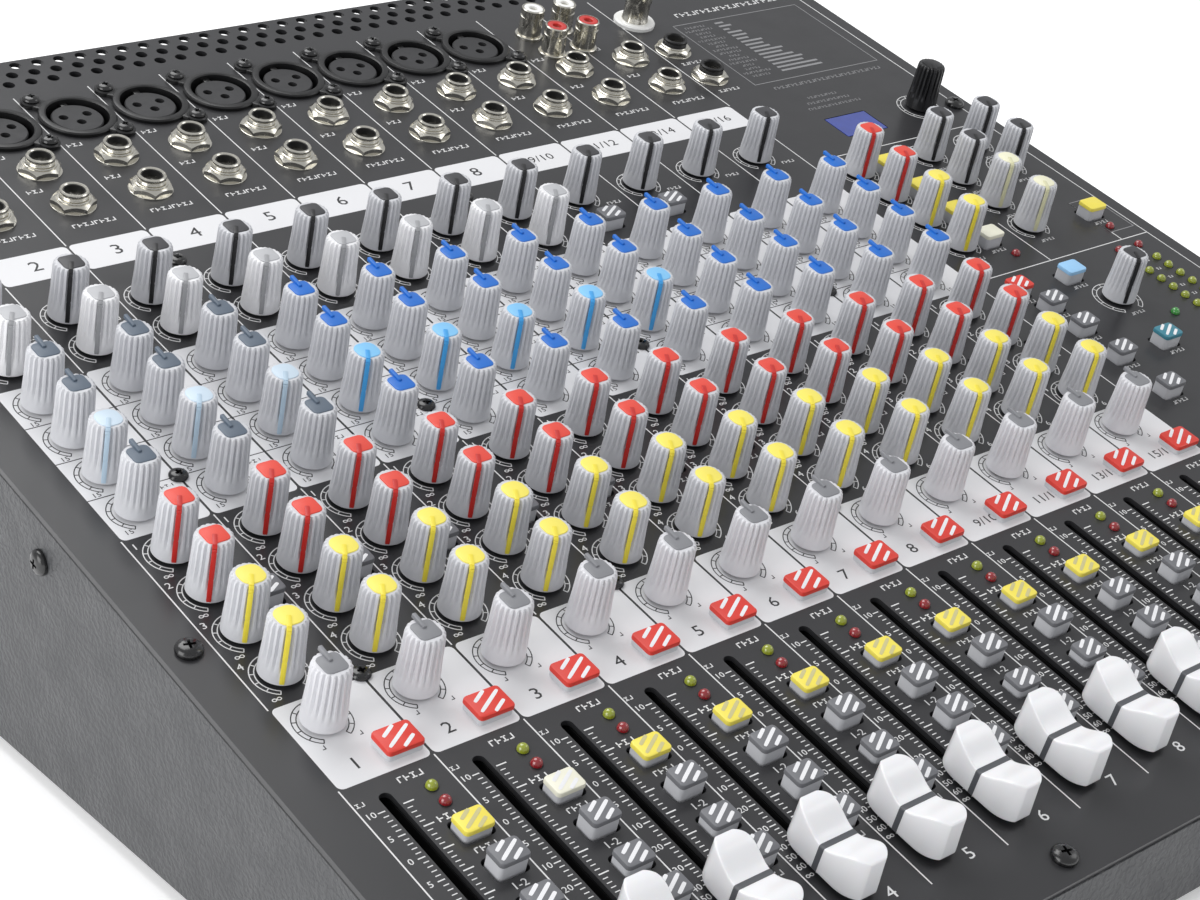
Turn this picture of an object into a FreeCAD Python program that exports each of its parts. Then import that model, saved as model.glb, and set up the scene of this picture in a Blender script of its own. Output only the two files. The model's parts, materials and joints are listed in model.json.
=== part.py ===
import FreeCAD, Part
import math
import os

import Sketcher
from FreeCAD import Placement, Rotation, Vector

# Mixing console: a wedge-shaped steel housing with a sloping top panel that carries twelve channel strips,
# a master section and all the sockets.
# Frame: +X to the right, +Y to the back, +Z up, origin on the floor below the middle of the object.
# Places on the top panel are given as (across, up, out): millimetres from the panel's left edge, from its
# front edge up the slope, and out from its upper face.

DIMENSIONS = {
    "body_width": (410.0, "width over the side walls"),
    "panel_length": (420.0, "length of the top panel up its slope"),
    "panel_tilt": (15.0, "slope of the top panel in degrees"),
    "front_height": (22.0, "height of the housing at its front edge, without feet"),
    "sheet_gauge": (1.5, "thickness of the steel sheet"),
    "lip_width": (13.0, "width of the inward lips that the top panel is screwed to"),
    "sheet_gap": (0.2, "gap between neighbouring sheets"),
    "foot_height": (5.0, "height of a rubber foot"),
    "foot_radius": (8.0, "radius of a rubber foot"),
    "foot_inset": (32.0, "distance from the housing's edges to the middle of a foot"),
    "strip_count": (12.0, "number of channel strips"),
    "mono_count": (8.0, "number of mono strips, which have a compressor knob"),
    "xlr_count": (10.0, "number of strips with a microphone socket"),
    "strip_pitch": (25.4, "distance from one strip to the next"),
    "first_slot": (20.5, "distance from the left edge to the first fader slot"),
    "knob_offset": (0.9, "distance from the fader slot to the knobs' column"),
    "button_offset": (11.5, "distance from the fader slot to the buttons' column"),
    "socket_offset": (4.7, "distance from the fader slot to the sockets' column"),
    "line_offset": (17.4, "distance from the fader slot to the line between two strips"),
    "fader_row": (31.5, "place of a closed fader up the slope"),
    "fader_travel": (60.0, "travel of a fader"),
    "fader_overrun": (4.8, "length of slot beyond each end of the travel"),
    "slot_width": (3.3, "width of a fader slot"),
    "assign_row": (41.4, "place of the lowest assign button up the slope"),
    "button_pitch": (12.4, "distance between the buttons beside a fader"),
    "mute_row": (107.3, "place of the mute buttons up the slope"),
    "mute_led_row": (93.0, "place of the upper row of lamps up the slope"),
    "clip_led_row": (87.8, "place of the lower row of lamps up the slope"),
    "pan_row": (121.3, "place of the pan knobs up the slope"),
    "knob_pitch": (15.9, "distance between knobs of one section"),
    "section_pitch": (17.8, "distance between knobs on both sides of a section's border"),
    "insert_row": (336.7, "place of the lower jack sockets up the slope"),
    "jack_pitch": (20.4, "distance between the two jack sockets of a strip"),
    "xlr_row": (381.0, "place of the microphone sockets up the slope"),
    "vent_row": (406.2, "place of the first row of vent holes up the slope"),
    "vent_row_pitch": (5.3, "distance between rows of vent holes"),
    "vent_pitch": (7.62, "distance between vent holes in a row"),
    "vent_radius": (1.9, "radius of a vent hole"),
    "knob_base_radius": (5.7, "radius of a knob at its foot"),
    "knob_top_radius": (4.7, "radius of a knob at its top"),
    "knob_height": (16.4, "height of a knob"),
    "knob_lift": (0.9, "gap between the panel and a knob"),
    "knob_bore_depth": (11.0, "depth of the hole for the spindle in a knob"),
    "pointer_length": (3.4, "length of the raised pointer on a knob"),
    "pointer_width": (1.2, "thickness of the raised pointer on a knob"),
    "pointer_height": (1.2, "height of the raised pointer above a knob"),
    "spindle_radius": (3.0, "radius of a potentiometer's spindle"),
    "spindle_fit": (0.05, "radial clearance between a spindle and a knob"),
    "spindle_hole_radius": (3.6, "radius of the panel's hole for a spindle"),
    "pot_width": (9.8, "width of a potentiometer's body"),
    "pot_depth": (8.0, "depth of a potentiometer's body below the panel"),
    "control_board_drop": (14.0, "distance from the panel to the board under the controls"),
    "socket_board_drop": (24.0, "distance from the panel to the board under the sockets"),
    "board_gauge": (1.6, "thickness of a circuit board"),
    "button_width": (8.2, "width of a small button"),
    "button_depth": (6.4, "depth of a small button up the slope"),
    "mute_width": (10.2, "width of a mute button"),
    "mute_depth": (7.9, "depth of a mute button up the slope"),
    "button_corner": (0.9, "corner radius of a button"),
    "button_rise": (4.7, "height of a released button above the panel"),
    "latch_travel": (1.7, "how far a latched button stays down"),
    "button_reach": (5.0, "length of a button below the panel"),
    "button_gap": (0.5, "gap around a button in its cut-out"),
    "switch_width": (7.4, "width of a latching switch"),
    "cap_width": (11.2, "width of a fader cap"),
    "cap_length": (24.0, "length of a fader cap"),
    "cap_lift": (2.2, "gap between the panel and a fader cap"),
    "cap_height": (10.2, "height of a fader cap's ends"),
    "cap_slope": (4.2, "how far each end of a fader cap leans in"),
    "cap_dish_radius": (17.0, "radius of the finger dish across a fader cap"),
    "cap_dish_depth": (1.9, "depth of the finger dish in a fader cap"),
    "stem_thickness": (1.2, "thickness of the tongue below a fader cap"),
    "stem_width": (5.0, "width of the tongue below a fader cap"),
    "stem_reach": (7.5, "length of the tongue below the panel"),
    "track_length": (88.0, "length of a fader's track"),
    "track_width": (9.0, "width of a fader's track"),
    "track_height": (12.0, "height of a fader's track"),
    "jack_bore_radius": (3.25, "radius of the hole in a jack socket"),
    "jack_bush_radius": (4.7, "radius of a jack socket's threaded bush"),
    "jack_bush_rise": (5.2, "height of a jack socket's bush above the panel"),
    "jack_body_width": (14.0, "width of a jack socket's body"),
    "jack_body_depth": (20.0, "depth of a jack socket's body below the panel"),
    "nut_radius": (6.7, "radius of a jack nut over its corners"),
    "nut_height": (2.3, "height of a jack nut"),
    "thread_fit": (0.1, "gap between a bush and its nut or hole"),
    "xlr_barrel_radius": (10.5, "radius of a microphone socket below the panel"),
    "xlr_flange_radius": (12.0, "radius of a microphone socket's flange"),
    "xlr_flange_height": (1.6, "height of a microphone socket's flange"),
    "xlr_barrel_depth": (20.0, "depth of a microphone socket below the panel"),
    "xlr_groove_outer": (9.6, "outer radius of the ring gap in a microphone socket"),
    "xlr_groove_inner": (8.0, "radius of a microphone socket's insert"),
    "xlr_groove_depth": (9.0, "depth of the ring gap in a microphone socket"),
    "xlr_contact_radius": (1.5, "radius of a contact hole in a microphone socket"),
    "xlr_contact_circle": (4.0, "radius of the circle of contact holes"),
    "xlr_ear_across": (9.5, "sideways distance from a microphone socket's middle to its screws"),
    "xlr_ear_up": (12.0, "distance up the slope from a microphone socket's middle to its screws"),
    "xlr_ear_radius": (3.3, "radius of a microphone socket's ear"),
    "xlr_arm_slimness": (0.18, "half width of the arm that carries both ears, as a share of its half length"),
    "small_thread_radius": (1.5, "radius of a small screw's thread"),
    "small_head_radius": (2.6, "radius of a small screw's head"),
    "small_head_height": (1.5, "height of a small screw's head"),
    "large_thread_radius": (2.0, "radius of a large screw's thread"),
    "large_head_radius": (3.5, "radius of a large screw's head"),
    "large_head_height": (2.2, "height of a large screw's head"),
    "screw_length": (5.0, "length of a screw's thread"),
    "recess_width": (0.8, "width of the cross recess in a screw"),
    "phono_radius": (4.1, "radius of a phono socket"),
    "phono_flange_radius": (4.9, "radius of a phono socket's flange"),
    "phono_rise": (11.0, "height of a phono socket above the panel"),
    "phono_bore_radius": (1.6, "radius of the hole in a phono socket"),
    "phono_pitch_across": (14.0, "sideways distance between phono sockets"),
    "phono_pitch_up": (13.6, "distance up the slope between phono sockets"),
    "lamp_flange_radius": (7.6, "radius of the lamp socket's ring"),
    "lamp_barrel_radius": (4.9, "radius of the lamp socket's barrel"),
    "lamp_rise": (13.0, "height of the lamp socket above the panel"),
    "led_radius": (1.5, "radius of a lamp"),
    "led_rise": (1.8, "height of a lamp above the panel"),
    "display_width": (20.0, "width of the effects display"),
    "display_depth": (13.0, "depth of the effects display up the slope"),
    "inlet_width": (27.0, "width of the mains inlet's body"),
    "inlet_height": (20.0, "height of the mains inlet's body"),
    "inlet_depth": (22.0, "depth of the mains inlet's body"),
    "inlet_wall": (1.6, "wall of the mains inlet"),
    "inlet_flange": (3.0, "height of the inlet's frame behind the rear panel"),
    "rocker_width": (13.0, "width of the power rocker"),
    "rocker_height": (18.0, "height of the power rocker"),
    "transformer_radius": (36.0, "radius of the ring transformer"),
    "transformer_height": (32.0, "height of the ring transformer"),
    "transformer_edge": (8.0, "radius of the ring transformer's edges"),
    "transformer_across": (60.0, "distance from the middle to the ring transformer"),
    "transformer_space": (20.0, "distance from the ring transformer to the rear"),
    "board_margin": (2.0, "distance from the lip to a circuit board's edge"),
    "fader_board_start": (18.0, "place of the fader board's front edge up the slope"),
    "fader_board_end": (112.0, "place of the fader board's back edge up the slope"),
    "knob_board_start": (114.0, "place of the knob board's front edge up the slope"),
    "knob_board_end": (312.0, "place of the knob board's back edge up the slope"),
    "socket_board_start": (324.0, "place of the socket board's front edge up the slope"),
    "socket_board_end": (398.0, "place of the socket board's back edge up the slope"),
    "inlet_across": (128.0, "distance from the middle to the mains inlet"),
    "inlet_level": (42.0, "height of the mains inlet's middle"),
    "inlet_border": (3.0, "width of the border round the mains inlet"),
    "inlet_divider": (6.0, "extra length of the mains inlet's body beside its two openings"),
    "inlet_pin_gauge": (2.0, "thickness of a contact pin"),
    "inlet_pin_height": (4.0, "height of a contact pin"),
    "inlet_pin_length": (16.0, "length of a contact pin"),
    "inlet_pin_pitch": (6.5, "distance from the middle of the mains inlet to its outer pins"),
    "inlet_earth_rise": (3.5, "height of the middle pin above the mains inlet's middle"),
    "inlet_pair_drop": (2.5, "distance of the outer pins below the mains inlet's middle"),
    "rocker_gap": (0.8, "gap around the power rocker"),
    "rocker_root": (5.0, "depth of the power rocker behind its frame"),
    "rocker_dip": (2.2, "depth of the power rocker's middle"),
    "rocker_high_end": (0.4, "depth of the power rocker's raised end"),
    "rocker_low_end": (0.9, "depth of the power rocker's pressed end"),
    "rocker_taper": (1.2, "how far the power rocker narrows towards its root"),
    "master_fader_offset": (13.2, "distance from the master section's border to its first fader slot"),
    "master_first_column": (12.7, "distance from the master section's border to its first column of knobs"),
    "master_second_column": (46.7, "distance from the master section's border to its second column of knobs"),
    "master_third_column": (70.2, "distance from the master section's border to its third column of knobs"),
    "master_knob_row": (216.5, "place of the master section's first row of knobs up the slope"),
    "master_knob_pitch": (16.2, "distance between the master section's rows of knobs"),
    "cue_button_offset": (11.2, "distance from the first column of master knobs to the buttons beside it"),
    "cue_button_drop": (2.0, "distance of those buttons below their knobs"),
    "meter_first_column": (66.5, "distance from the master section's border to the meter's left column"),
    "meter_column_pitch": (10.0, "distance between the meter's columns"),
    "meter_top_row": (192.7, "place of the meter's top lamps up the slope"),
    "meter_row": (184.5, "place of the meter's second lamps up the slope"),
    "meter_pitch": (5.2, "distance between the meter's other lamps"),
    "meter_count": (10.0, "number of lamps in a meter column below the top one"),
    "socket_column": (7.2, "distance from the master section's border to its sockets"),
    "lamp_drop": (1.5, "distance of the lamp socket below the row of microphone sockets"),
    "phono_across": (3.1, "distance from the last knob column of the stereo strips to the first phono socket"),
    "phono_up": (12.2, "distance from the line sockets' row to the first phono sockets"),
    "led_shift": (0.5, "distance of a strip's lamps to the left of its buttons' column"),
    "border_inset": (6.8, "distance from the panel's edge to its large screws"),
    "front_screw_across": (56.2, "distance from the middle to a large screw of the front edge"),
    "side_screw_drop": (13.0, "distance of a side wall's screws below the panel"),
    "part_gap": (0.4, "gap between separate pieces"),
}

doc = FreeCAD.newDocument("MixingConsole")
sheet = doc.addObject("Spreadsheet::Sheet", "Sizes")
for row, (alias, (amount, meaning)) in enumerate(DIMENSIONS.items(), start=1):
    sheet.set(f"A{row}", meaning)
    sheet.set(f"B{row}", str(amount))
    sheet.setAlias(f"B{row}", alias)
doc.recompute()


def size(expression):
    """The value of a sheet cell, or of an expression that names cells as Sizes.alias."""
    if expression in DIMENSIONS:
        expression = f"Sizes.{expression}"
    return float(sheet.evalExpression(expression))


# ---------------------------------------------------------------- places

TILT = size("panel_tilt")
HOUSING_DEPTH = size("panel_length") * math.cos(math.radians(TILT))
FRONT = -(HOUSING_DEPTH + size("inlet_flange")) / 2
REAR = FRONT + HOUSING_DEPTH
FLOOR = size("foot_height")
PANEL_FRAME = Placement(
    Vector(-size("body_width") / 2, FRONT, FLOOR + size("front_height")),
    Rotation(Vector(1, 0, 0), TILT),
)


def on_panel(across, up, out=0.0, turn=0.0):
    """A placement on the top panel, turned about the panel's normal by an angle in degrees."""
    return PANEL_FRAME.multiply(Placement(Vector(across, up, out), Rotation(Vector(0, 0, 1), turn)))


def slot_of(strip):
    """Distance from the left edge to a strip's fader slot; strips count from 1."""
    return size("first_slot") + (strip - 1) * size("strip_pitch")


STRIPS = range(1, int(size("strip_count")) + 1)
MONO_STRIPS = range(1, int(size("mono_count")) + 1)
XLR_STRIPS = range(1, int(size("xlr_count")) + 1)
LOW_CUT_STRIPS = [strip for strip in XLR_STRIPS if strip not in MONO_STRIPS]

# Knob rows from the front: pan, four auxiliary sends, four equaliser knobs, compressor, gain.
AUX_ROWS = [size("pan_row") + size("section_pitch") + place * size("knob_pitch") for place in range(4)]
EQ_ROWS = [AUX_ROWS[-1] + size("section_pitch") + place * size("knob_pitch") for place in range(4)]
KNOB_ROWS = {
    "pan": size("pan_row"),
    "aux_4": AUX_ROWS[0],
    "aux_3": AUX_ROWS[1],
    "aux_2": AUX_ROWS[2],
    "aux_1": AUX_ROWS[3],
    "low": EQ_ROWS[0],
    "frequency": EQ_ROWS[1],
    "mid": EQ_ROWS[2],
    "high": EQ_ROWS[3],
    "compressor": EQ_ROWS[3] + size("section_pitch"),
    "gain": EQ_ROWS[3] + size("section_pitch") + size("knob_pitch"),
}
BUTTON_ROWS = {
    "main": size("assign_row"),
    "group_3_4": size("assign_row") + size("button_pitch"),
    "group_1_2": size("assign_row") + 2 * size("button_pitch"),
    "solo": size("assign_row") + 3 * size("button_pitch"),
    "pre_fader": (AUX_ROWS[1] + AUX_ROWS[2]) / 2,
}

# Master section, to the right of the last strip: distances from its first column.
MASTER_EDGE = slot_of(len(STRIPS)) + size("line_offset")
MASTER_FADERS = [MASTER_EDGE + size("master_fader_offset") + place * size("strip_pitch") for place in range(3)]
MASTER_COLUMNS = [MASTER_EDGE + size(f"master_{place}_column") for place in ("first", "second", "third")]
MASTER_ROWS = [size("master_knob_row") + place * size("master_knob_pitch") for place in range(4)]

# The master section's single controls: distance from its border, and place up the slope.
MASTER_PLACES = {
    "monitor_knob": (41.7, 172.0),
    "effects_knob": (70.7, 293.0),
    "effects_display": (37.7, 292.0),
    "playback_button": (14.2, 128.0),
    "record_button": (14.2, 147.5),
    "group_button": (14.2, 163.5),
    "mix_button": (14.2, 177.0),
    "all_mute_button": (9.2, 187.5),
    "monitor_button": (34.7, 187.5),
    "phones_button": (36.2, 147.5),
    "microphone_power_button": (75.2, 214.0),
    "effects_lamp": (28.1, 205.2),
    "microphone_power_lamp": (76.0, 205.2),
    "power_lamp": (54.4, 158.0),
}
MASTER = {name: (MASTER_EDGE + across, up) for name, (across, up) in MASTER_PLACES.items()}
MASTER_KNOBS = (
    [(MASTER_COLUMNS[0], row) for row in MASTER_ROWS]
    + [(MASTER_COLUMNS[1], row) for row in MASTER_ROWS]
    + [(MASTER_COLUMNS[2], row) for row in MASTER_ROWS[2:]]
    + [MASTER["effects_knob"]]
)
MASTER_BUTTONS = (
    [(MASTER_COLUMNS[0] + size("cue_button_offset"), row - size("cue_button_drop")) for row in MASTER_ROWS]
    + [place for name, place in MASTER.items() if name.endswith("_button")]
    + [(across + size("button_offset"), BUTTON_ROWS["solo"]) for across in MASTER_FADERS]
    + [(across + size("button_offset"), BUTTON_ROWS["main"]) for across in MASTER_FADERS[:2]]
)
METER_COLUMNS = [MASTER_EDGE + size("meter_first_column") + place * size("meter_column_pitch") for place in (0, 1)]
METER_ROWS = [size("meter_top_row")]
METER_ROWS += [size("meter_row") - place * size("meter_pitch") for place in range(int(size("meter_count")))]
MASTER_LAMPS = [place for name, place in MASTER.items() if name.endswith("_lamp")]
SOCKET_COLUMN = MASTER_EDGE + size("socket_column")
LAMP_SOCKET = (SOCKET_COLUMN, size("xlr_row") - size("lamp_drop"))

FADERS = {f"channel_fader_cap_{strip}": slot_of(strip) for strip in STRIPS}
FADERS["group_fader_cap_1_2"] = MASTER_FADERS[0]
FADERS["group_fader_cap_3_4"] = MASTER_FADERS[1]
FADERS["main_fader_cap"] = MASTER_FADERS[2]

JACK_ROWS = [size("insert_row"), size("insert_row") + size("jack_pitch")]
JACKS = [(slot_of(strip) + size("socket_offset"), row) for strip in STRIPS for row in JACK_ROWS]
JACKS += [(SOCKET_COLUMN, row) for row in JACK_ROWS]
XLRS = [(slot_of(strip) + size("socket_offset"), size("xlr_row")) for strip in XLR_STRIPS]
XLR_EARS = [
    (across + side * size("xlr_ear_across"), up - side * size("xlr_ear_up"))
    for across, up in XLRS
    for side in (-1, 1)
]
PHONO_CORNER = (
    slot_of(XLR_STRIPS[-1] + 1) + size("knob_offset") + size("phono_across"),
    JACK_ROWS[1] + size("phono_up"),
)
PHONOS = [
    (PHONO_CORNER[0] + step * size("phono_pitch_across"), PHONO_CORNER[1] + level * size("phono_pitch_up"))
    for level in (0, 1)
    for step in (0, 1)
]

LED_PLACES = (
    [(slot_of(strip) + size("button_offset") - size("led_shift"), size(f"{lamp}_led_row"))
     for lamp in ("mute", "clip") for strip in STRIPS]
    + [(across, row) for across in METER_COLUMNS for row in METER_ROWS]
    + MASTER_LAMPS
)

# Rows of small screws up the slope, and the strips on whose right border they stand.
SMALL_SCREW_ROWS = {130.5: (1, 4, 7, 10), 212.4: (1, 4, 7, 10), 299.5: (3, 7, 11)}
SMALL_SCREWS = [(slot_of(strip) + size("line_offset"), row)
                for row, strips in SMALL_SCREW_ROWS.items() for strip in strips]
SIDE_BORDERS = (size("border_inset"), size("body_width") - size("border_inset"))
BORDER_SCREW_ROWS = (30.0, 154.7, 290.0)
SIDE_SCREW_ROWS = (210.5, 380.0)
LARGE_SCREWS = (
    [(across, row) for across in SIDE_BORDERS for row in BORDER_SCREW_ROWS]
    + [(size("body_width") / 2 + side * size("front_screw_across"), size("border_inset")) for side in (-1, 1)]
)
SIDE_SCREWS = [(side, row, -size("side_screw_drop")) for side in (-1, 1) for row in SIDE_SCREW_ROWS]
LATCHED_STRIPS = (1, 2, 3, 5, 7, 8)

# ---------------------------------------------------------------- makers


def origin_plane(body, role):
    """One of a body's own origin planes."""
    return next(feature for feature in body.Origin.OriginFeatures if feature.Role == role)


def new_sketch(body, name, role, offset=None):
    """A sketch on one of the body's origin planes, moved along its normal by an expression."""
    sketch = body.newObject("Sketcher::SketchObject", name)
    sketch.AttachmentSupport = [(origin_plane(body, role), "")]
    sketch.MapMode = "FlatFace"
    if offset:
        sketch.setExpression("AttachmentOffset.Base.z", offset)
    return sketch


def hold_point(sketch, line, point, across, up):
    """Ties a sketch point to the sketch's origin by two expressions."""
    for kind, axis, expression in (("DistanceX", -2, across), ("DistanceY", -1, up)):
        distance = size(expression)
        if distance == 0:
            sketch.addConstraint(Sketcher.Constraint("PointOnObject", line, point, axis))
            continue
        constraint = sketch.addConstraint(Sketcher.Constraint(kind, -1, 1, line, point, distance))
        sketch.setExpression(f"Constraints[{constraint}]", expression)


def outline(sketch, corners):
    """A closed outline of straight lines through corners given as pairs of expressions."""
    points = [Vector(size(across), size(up), 0) for across, up in corners]
    following = points[1:] + points[:1]
    sketch.addGeometry([Part.LineSegment(start, end) for start, end in zip(points, following)], False)
    for line in range(len(points)):
        sketch.addConstraint(Sketcher.Constraint("Coincident", line, 2, (line + 1) % len(points), 1))
    for line, (across, up) in enumerate(corners):
        hold_point(sketch, line, 1, across, up)


def circle(sketch, across, up, radius):
    """A circle whose middle and radius are expressions."""
    middle = Vector(size(across), size(up), 0)
    line = sketch.addGeometry(Part.Circle(middle, Vector(0, 0, 1), size(radius)), False)
    hold_point(sketch, line, 3, across, up)
    constraint = sketch.addConstraint(Sketcher.Constraint("Radius", line, size(radius)))
    sketch.setExpression(f"Constraints[{constraint}]", radius)


def box_outline(sketch, width, depth):
    """A rectangle about the sketch's origin."""
    outline(sketch, [
        (f"-{width} / 2", f"-{depth} / 2"),
        (f"{width} / 2", f"-{depth} / 2"),
        (f"{width} / 2", f"{depth} / 2"),
        (f"-{width} / 2", f"{depth} / 2"),
    ])


def feature(body, kind, name, sketch, **settings):
    """A PartDesign feature of a sketch; text settings are expressions."""
    made = body.newObject(f"PartDesign::{kind}", name)
    made.Profile = sketch
    for setting, setting_value in settings.items():
        if isinstance(setting_value, str):
            made.setExpression(setting, setting_value)
        else:
            setattr(made, setting, setting_value)
    return made


def turned(body, kind, name, corners):
    """A Revolution or Groove about the body's Z axis of an outline in its XZ plane."""
    sketch = new_sketch(body, f"{name}_outline", "XZ_Plane")
    outline(sketch, corners)
    made = feature(body, kind, name, sketch, Angle=360.0)
    made.ReferenceAxis = (sketch, ["V_Axis"])
    return made


def new_body(label):
    """A PartDesign body with its label."""
    body = doc.addObject("PartDesign::Body", label)
    body.Label = label
    return body


def primitive(kind, name, **settings):
    """A Part primitive; text settings are expressions."""
    made = doc.addObject(f"Part::{kind}", name)
    for setting, setting_value in settings.items():
        target = setting.replace("At", "Placement.Base.") if setting.startswith("At") else setting
        if isinstance(setting_value, str):
            made.setExpression(target, setting_value)
        else:
            setattr(made, target, setting_value)
    return made


def centred_box(name, width, depth, bottom, height):
    """A box about the Z axis, from a bottom height up; all four are expressions."""
    return primitive("Box", name, Length=width, Width=depth, Height=height,
                     Atx=f"-({width}) / 2", Aty=f"-({depth}) / 2", Atz=bottom)


def cylinder(name, radius, bottom, height):
    """A cylinder on the Z axis, from a bottom height up; all three are expressions."""
    return primitive("Cylinder", name, Radius=radius, Height=height, Atz=bottom)


def boolean(kind, name, first, *others):
    """A Cut of the first shape by the others, or a fusion of them all."""
    if kind == "Fuse":
        made = doc.addObject("Part::MultiFuse", name)
        made.Shapes = [first, *others]
        return made
    for place, other in enumerate(others):
        made = doc.addObject("Part::Cut", name if place == len(others) - 1 else f"{name}_{place}")
        made.Base = first
        made.Tool = other
        first = made
    return made


NODES = []


def node(piece, label, place=None):
    """Registers a finished piece under its label, at its place."""
    piece.Label = label
    if place:
        piece.Placement = place
    NODES.append(piece)
    return piece


def copies(label, *families):
    """One node of separate pieces: each family is a pattern piece and the placements of its copies."""
    doc.recompute()
    solids = []
    for pattern, places in families:
        for place in places:
            solid = pattern.Shape.copy()
            solid.Placement = place.multiply(solid.Placement)
            solids.append(solid)
    group = doc.addObject("Part::Feature", label)
    group.Shape = Part.Compound(solids)
    return node(group, label)


def at_places(places, out=0.0):
    """Placements on the panel for a list of (across, up) places."""
    return [on_panel(across, up, out) for across, up in places]


# ---------------------------------------------------------------- housing


def round_hole(across, up, radius):
    """A round hole's edge on the flat panel."""
    return Part.Wire(Part.makeCircle(radius, Vector(across, up, 0)))


def rounded_hole(across, up, width, depth, corner):
    """A rectangular hole's edge with rounded corners on the flat panel."""
    half_x, half_y = width / 2, depth / 2
    edges = []
    for quarter, (side_x, side_y) in enumerate(((1, 1), (-1, 1), (-1, -1), (1, -1))):
        middle = Vector(across + side_x * (half_x - corner), up + side_y * (half_y - corner), 0)
        edges.append(Part.makeCircle(corner, middle, Vector(0, 0, 1), 90 * quarter, 90 * quarter + 90))
    ends = [(edge.valueAt(edge.FirstParameter), edge.valueAt(edge.LastParameter)) for edge in edges]
    for place in range(4):
        gap = (ends[place][1], ends[(place + 1) % 4][0])
        if gap[0].distanceToPoint(gap[1]) > 1e-6:
            edges.append(Part.LineSegment(*gap).toShape())
    return Part.Wire(Part.__sortEdges__(edges))


def panel_holes():
    """The edges of every hole in the top panel."""
    holes = []
    knobs = [(slot_of(strip) + size("knob_offset"), up) for strip in STRIPS for name, up in KNOB_ROWS.items()
             if name != "compressor" or strip in MONO_STRIPS]
    for across, up in knobs + MASTER_KNOBS + [MASTER["monitor_knob"]]:
        holes.append(round_hole(across, up, size("spindle_hole_radius")))
    gap = size("button_gap")
    small = [(slot_of(strip) + size("button_offset"), up) for strip in STRIPS for up in BUTTON_ROWS.values()]
    small += [(slot_of(strip) + size("knob_offset"), KNOB_ROWS["compressor"]) for strip in LOW_CUT_STRIPS]
    for across, up in small + MASTER_BUTTONS:
        holes.append(rounded_hole(across, up, size("button_width") + 2 * gap, size("button_depth") + 2 * gap,
                                  size("button_corner") + gap))
    for strip in STRIPS:
        holes.append(rounded_hole(slot_of(strip) + size("button_offset"), size("mute_row"),
                                  size("mute_width") + 2 * gap, size("mute_depth") + 2 * gap,
                                  size("button_corner") + gap))
    slot_length = size("fader_travel") + 2 * size("fader_overrun")
    for across in FADERS.values():
        holes.append(rounded_hole(across, size("fader_row") + size("fader_travel") / 2,
                                  size("slot_width"), slot_length, size("slot_width") / 2 - 0.01))
    for across, up in LED_PLACES:
        holes.append(round_hole(across, up, size("led_radius") + size("thread_fit")))
    for across, up in JACKS:
        holes.append(round_hole(across, up, size("jack_bush_radius") + size("thread_fit")))
    for across, up in XLRS:
        holes.append(round_hole(across, up, size("xlr_barrel_radius") + size("part_gap")))
    for across, up in XLR_EARS + SMALL_SCREWS:
        holes.append(round_hole(across, up, size("small_thread_radius") + size("thread_fit")))
    for across, up in LARGE_SCREWS:
        holes.append(round_hole(across, up, size("large_thread_radius") + size("thread_fit")))
    for across, up in PHONOS:
        holes.append(round_hole(across, up, size("phono_radius") + size("part_gap")))
    holes.append(round_hole(*LAMP_SOCKET, size("lamp_barrel_radius") + size("part_gap")))
    holes.append(rounded_hole(*MASTER["effects_display"], size("display_width"), size("display_depth"),
                              size("button_corner")))
    margin = 2 * size("vent_pitch")
    vents_per_row = int((size("body_width") - 2 * margin) / size("vent_pitch"))
    for level in range(3):
        shift = size("vent_pitch") / 2 if level == 1 else 0.0
        for place in range(vents_per_row):
            holes.append(round_hole(margin + shift + place * size("vent_pitch"),
                                    size("vent_row") + level * size("vent_row_pitch"), size("vent_radius")))
    return holes


def top_panel():
    """The flat steel panel with every hole, extruded down by the sheet's thickness."""
    edge = Part.makePolygon([
        Vector(0, 0, 0),
        Vector(size("body_width"), 0, 0),
        Vector(size("body_width"), size("panel_length"), 0),
        Vector(0, size("panel_length"), 0),
        Vector(0, 0, 0),
    ])
    blank = doc.addObject("Part::Feature", "panel_blank")
    blank.Shape = Part.Face([edge, *panel_holes()], "Part::FaceMakerBullseye")
    panel = doc.addObject("Part::Extrusion", "top_panel")
    panel.Base = blank
    panel.DirMode = "Custom"
    panel.Dir = Vector(0, 0, -1)
    panel.Solid = True
    panel.setExpression("LengthFwd", "Sizes.sheet_gauge")
    node(panel, "top_panel", PANEL_FRAME)


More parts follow.
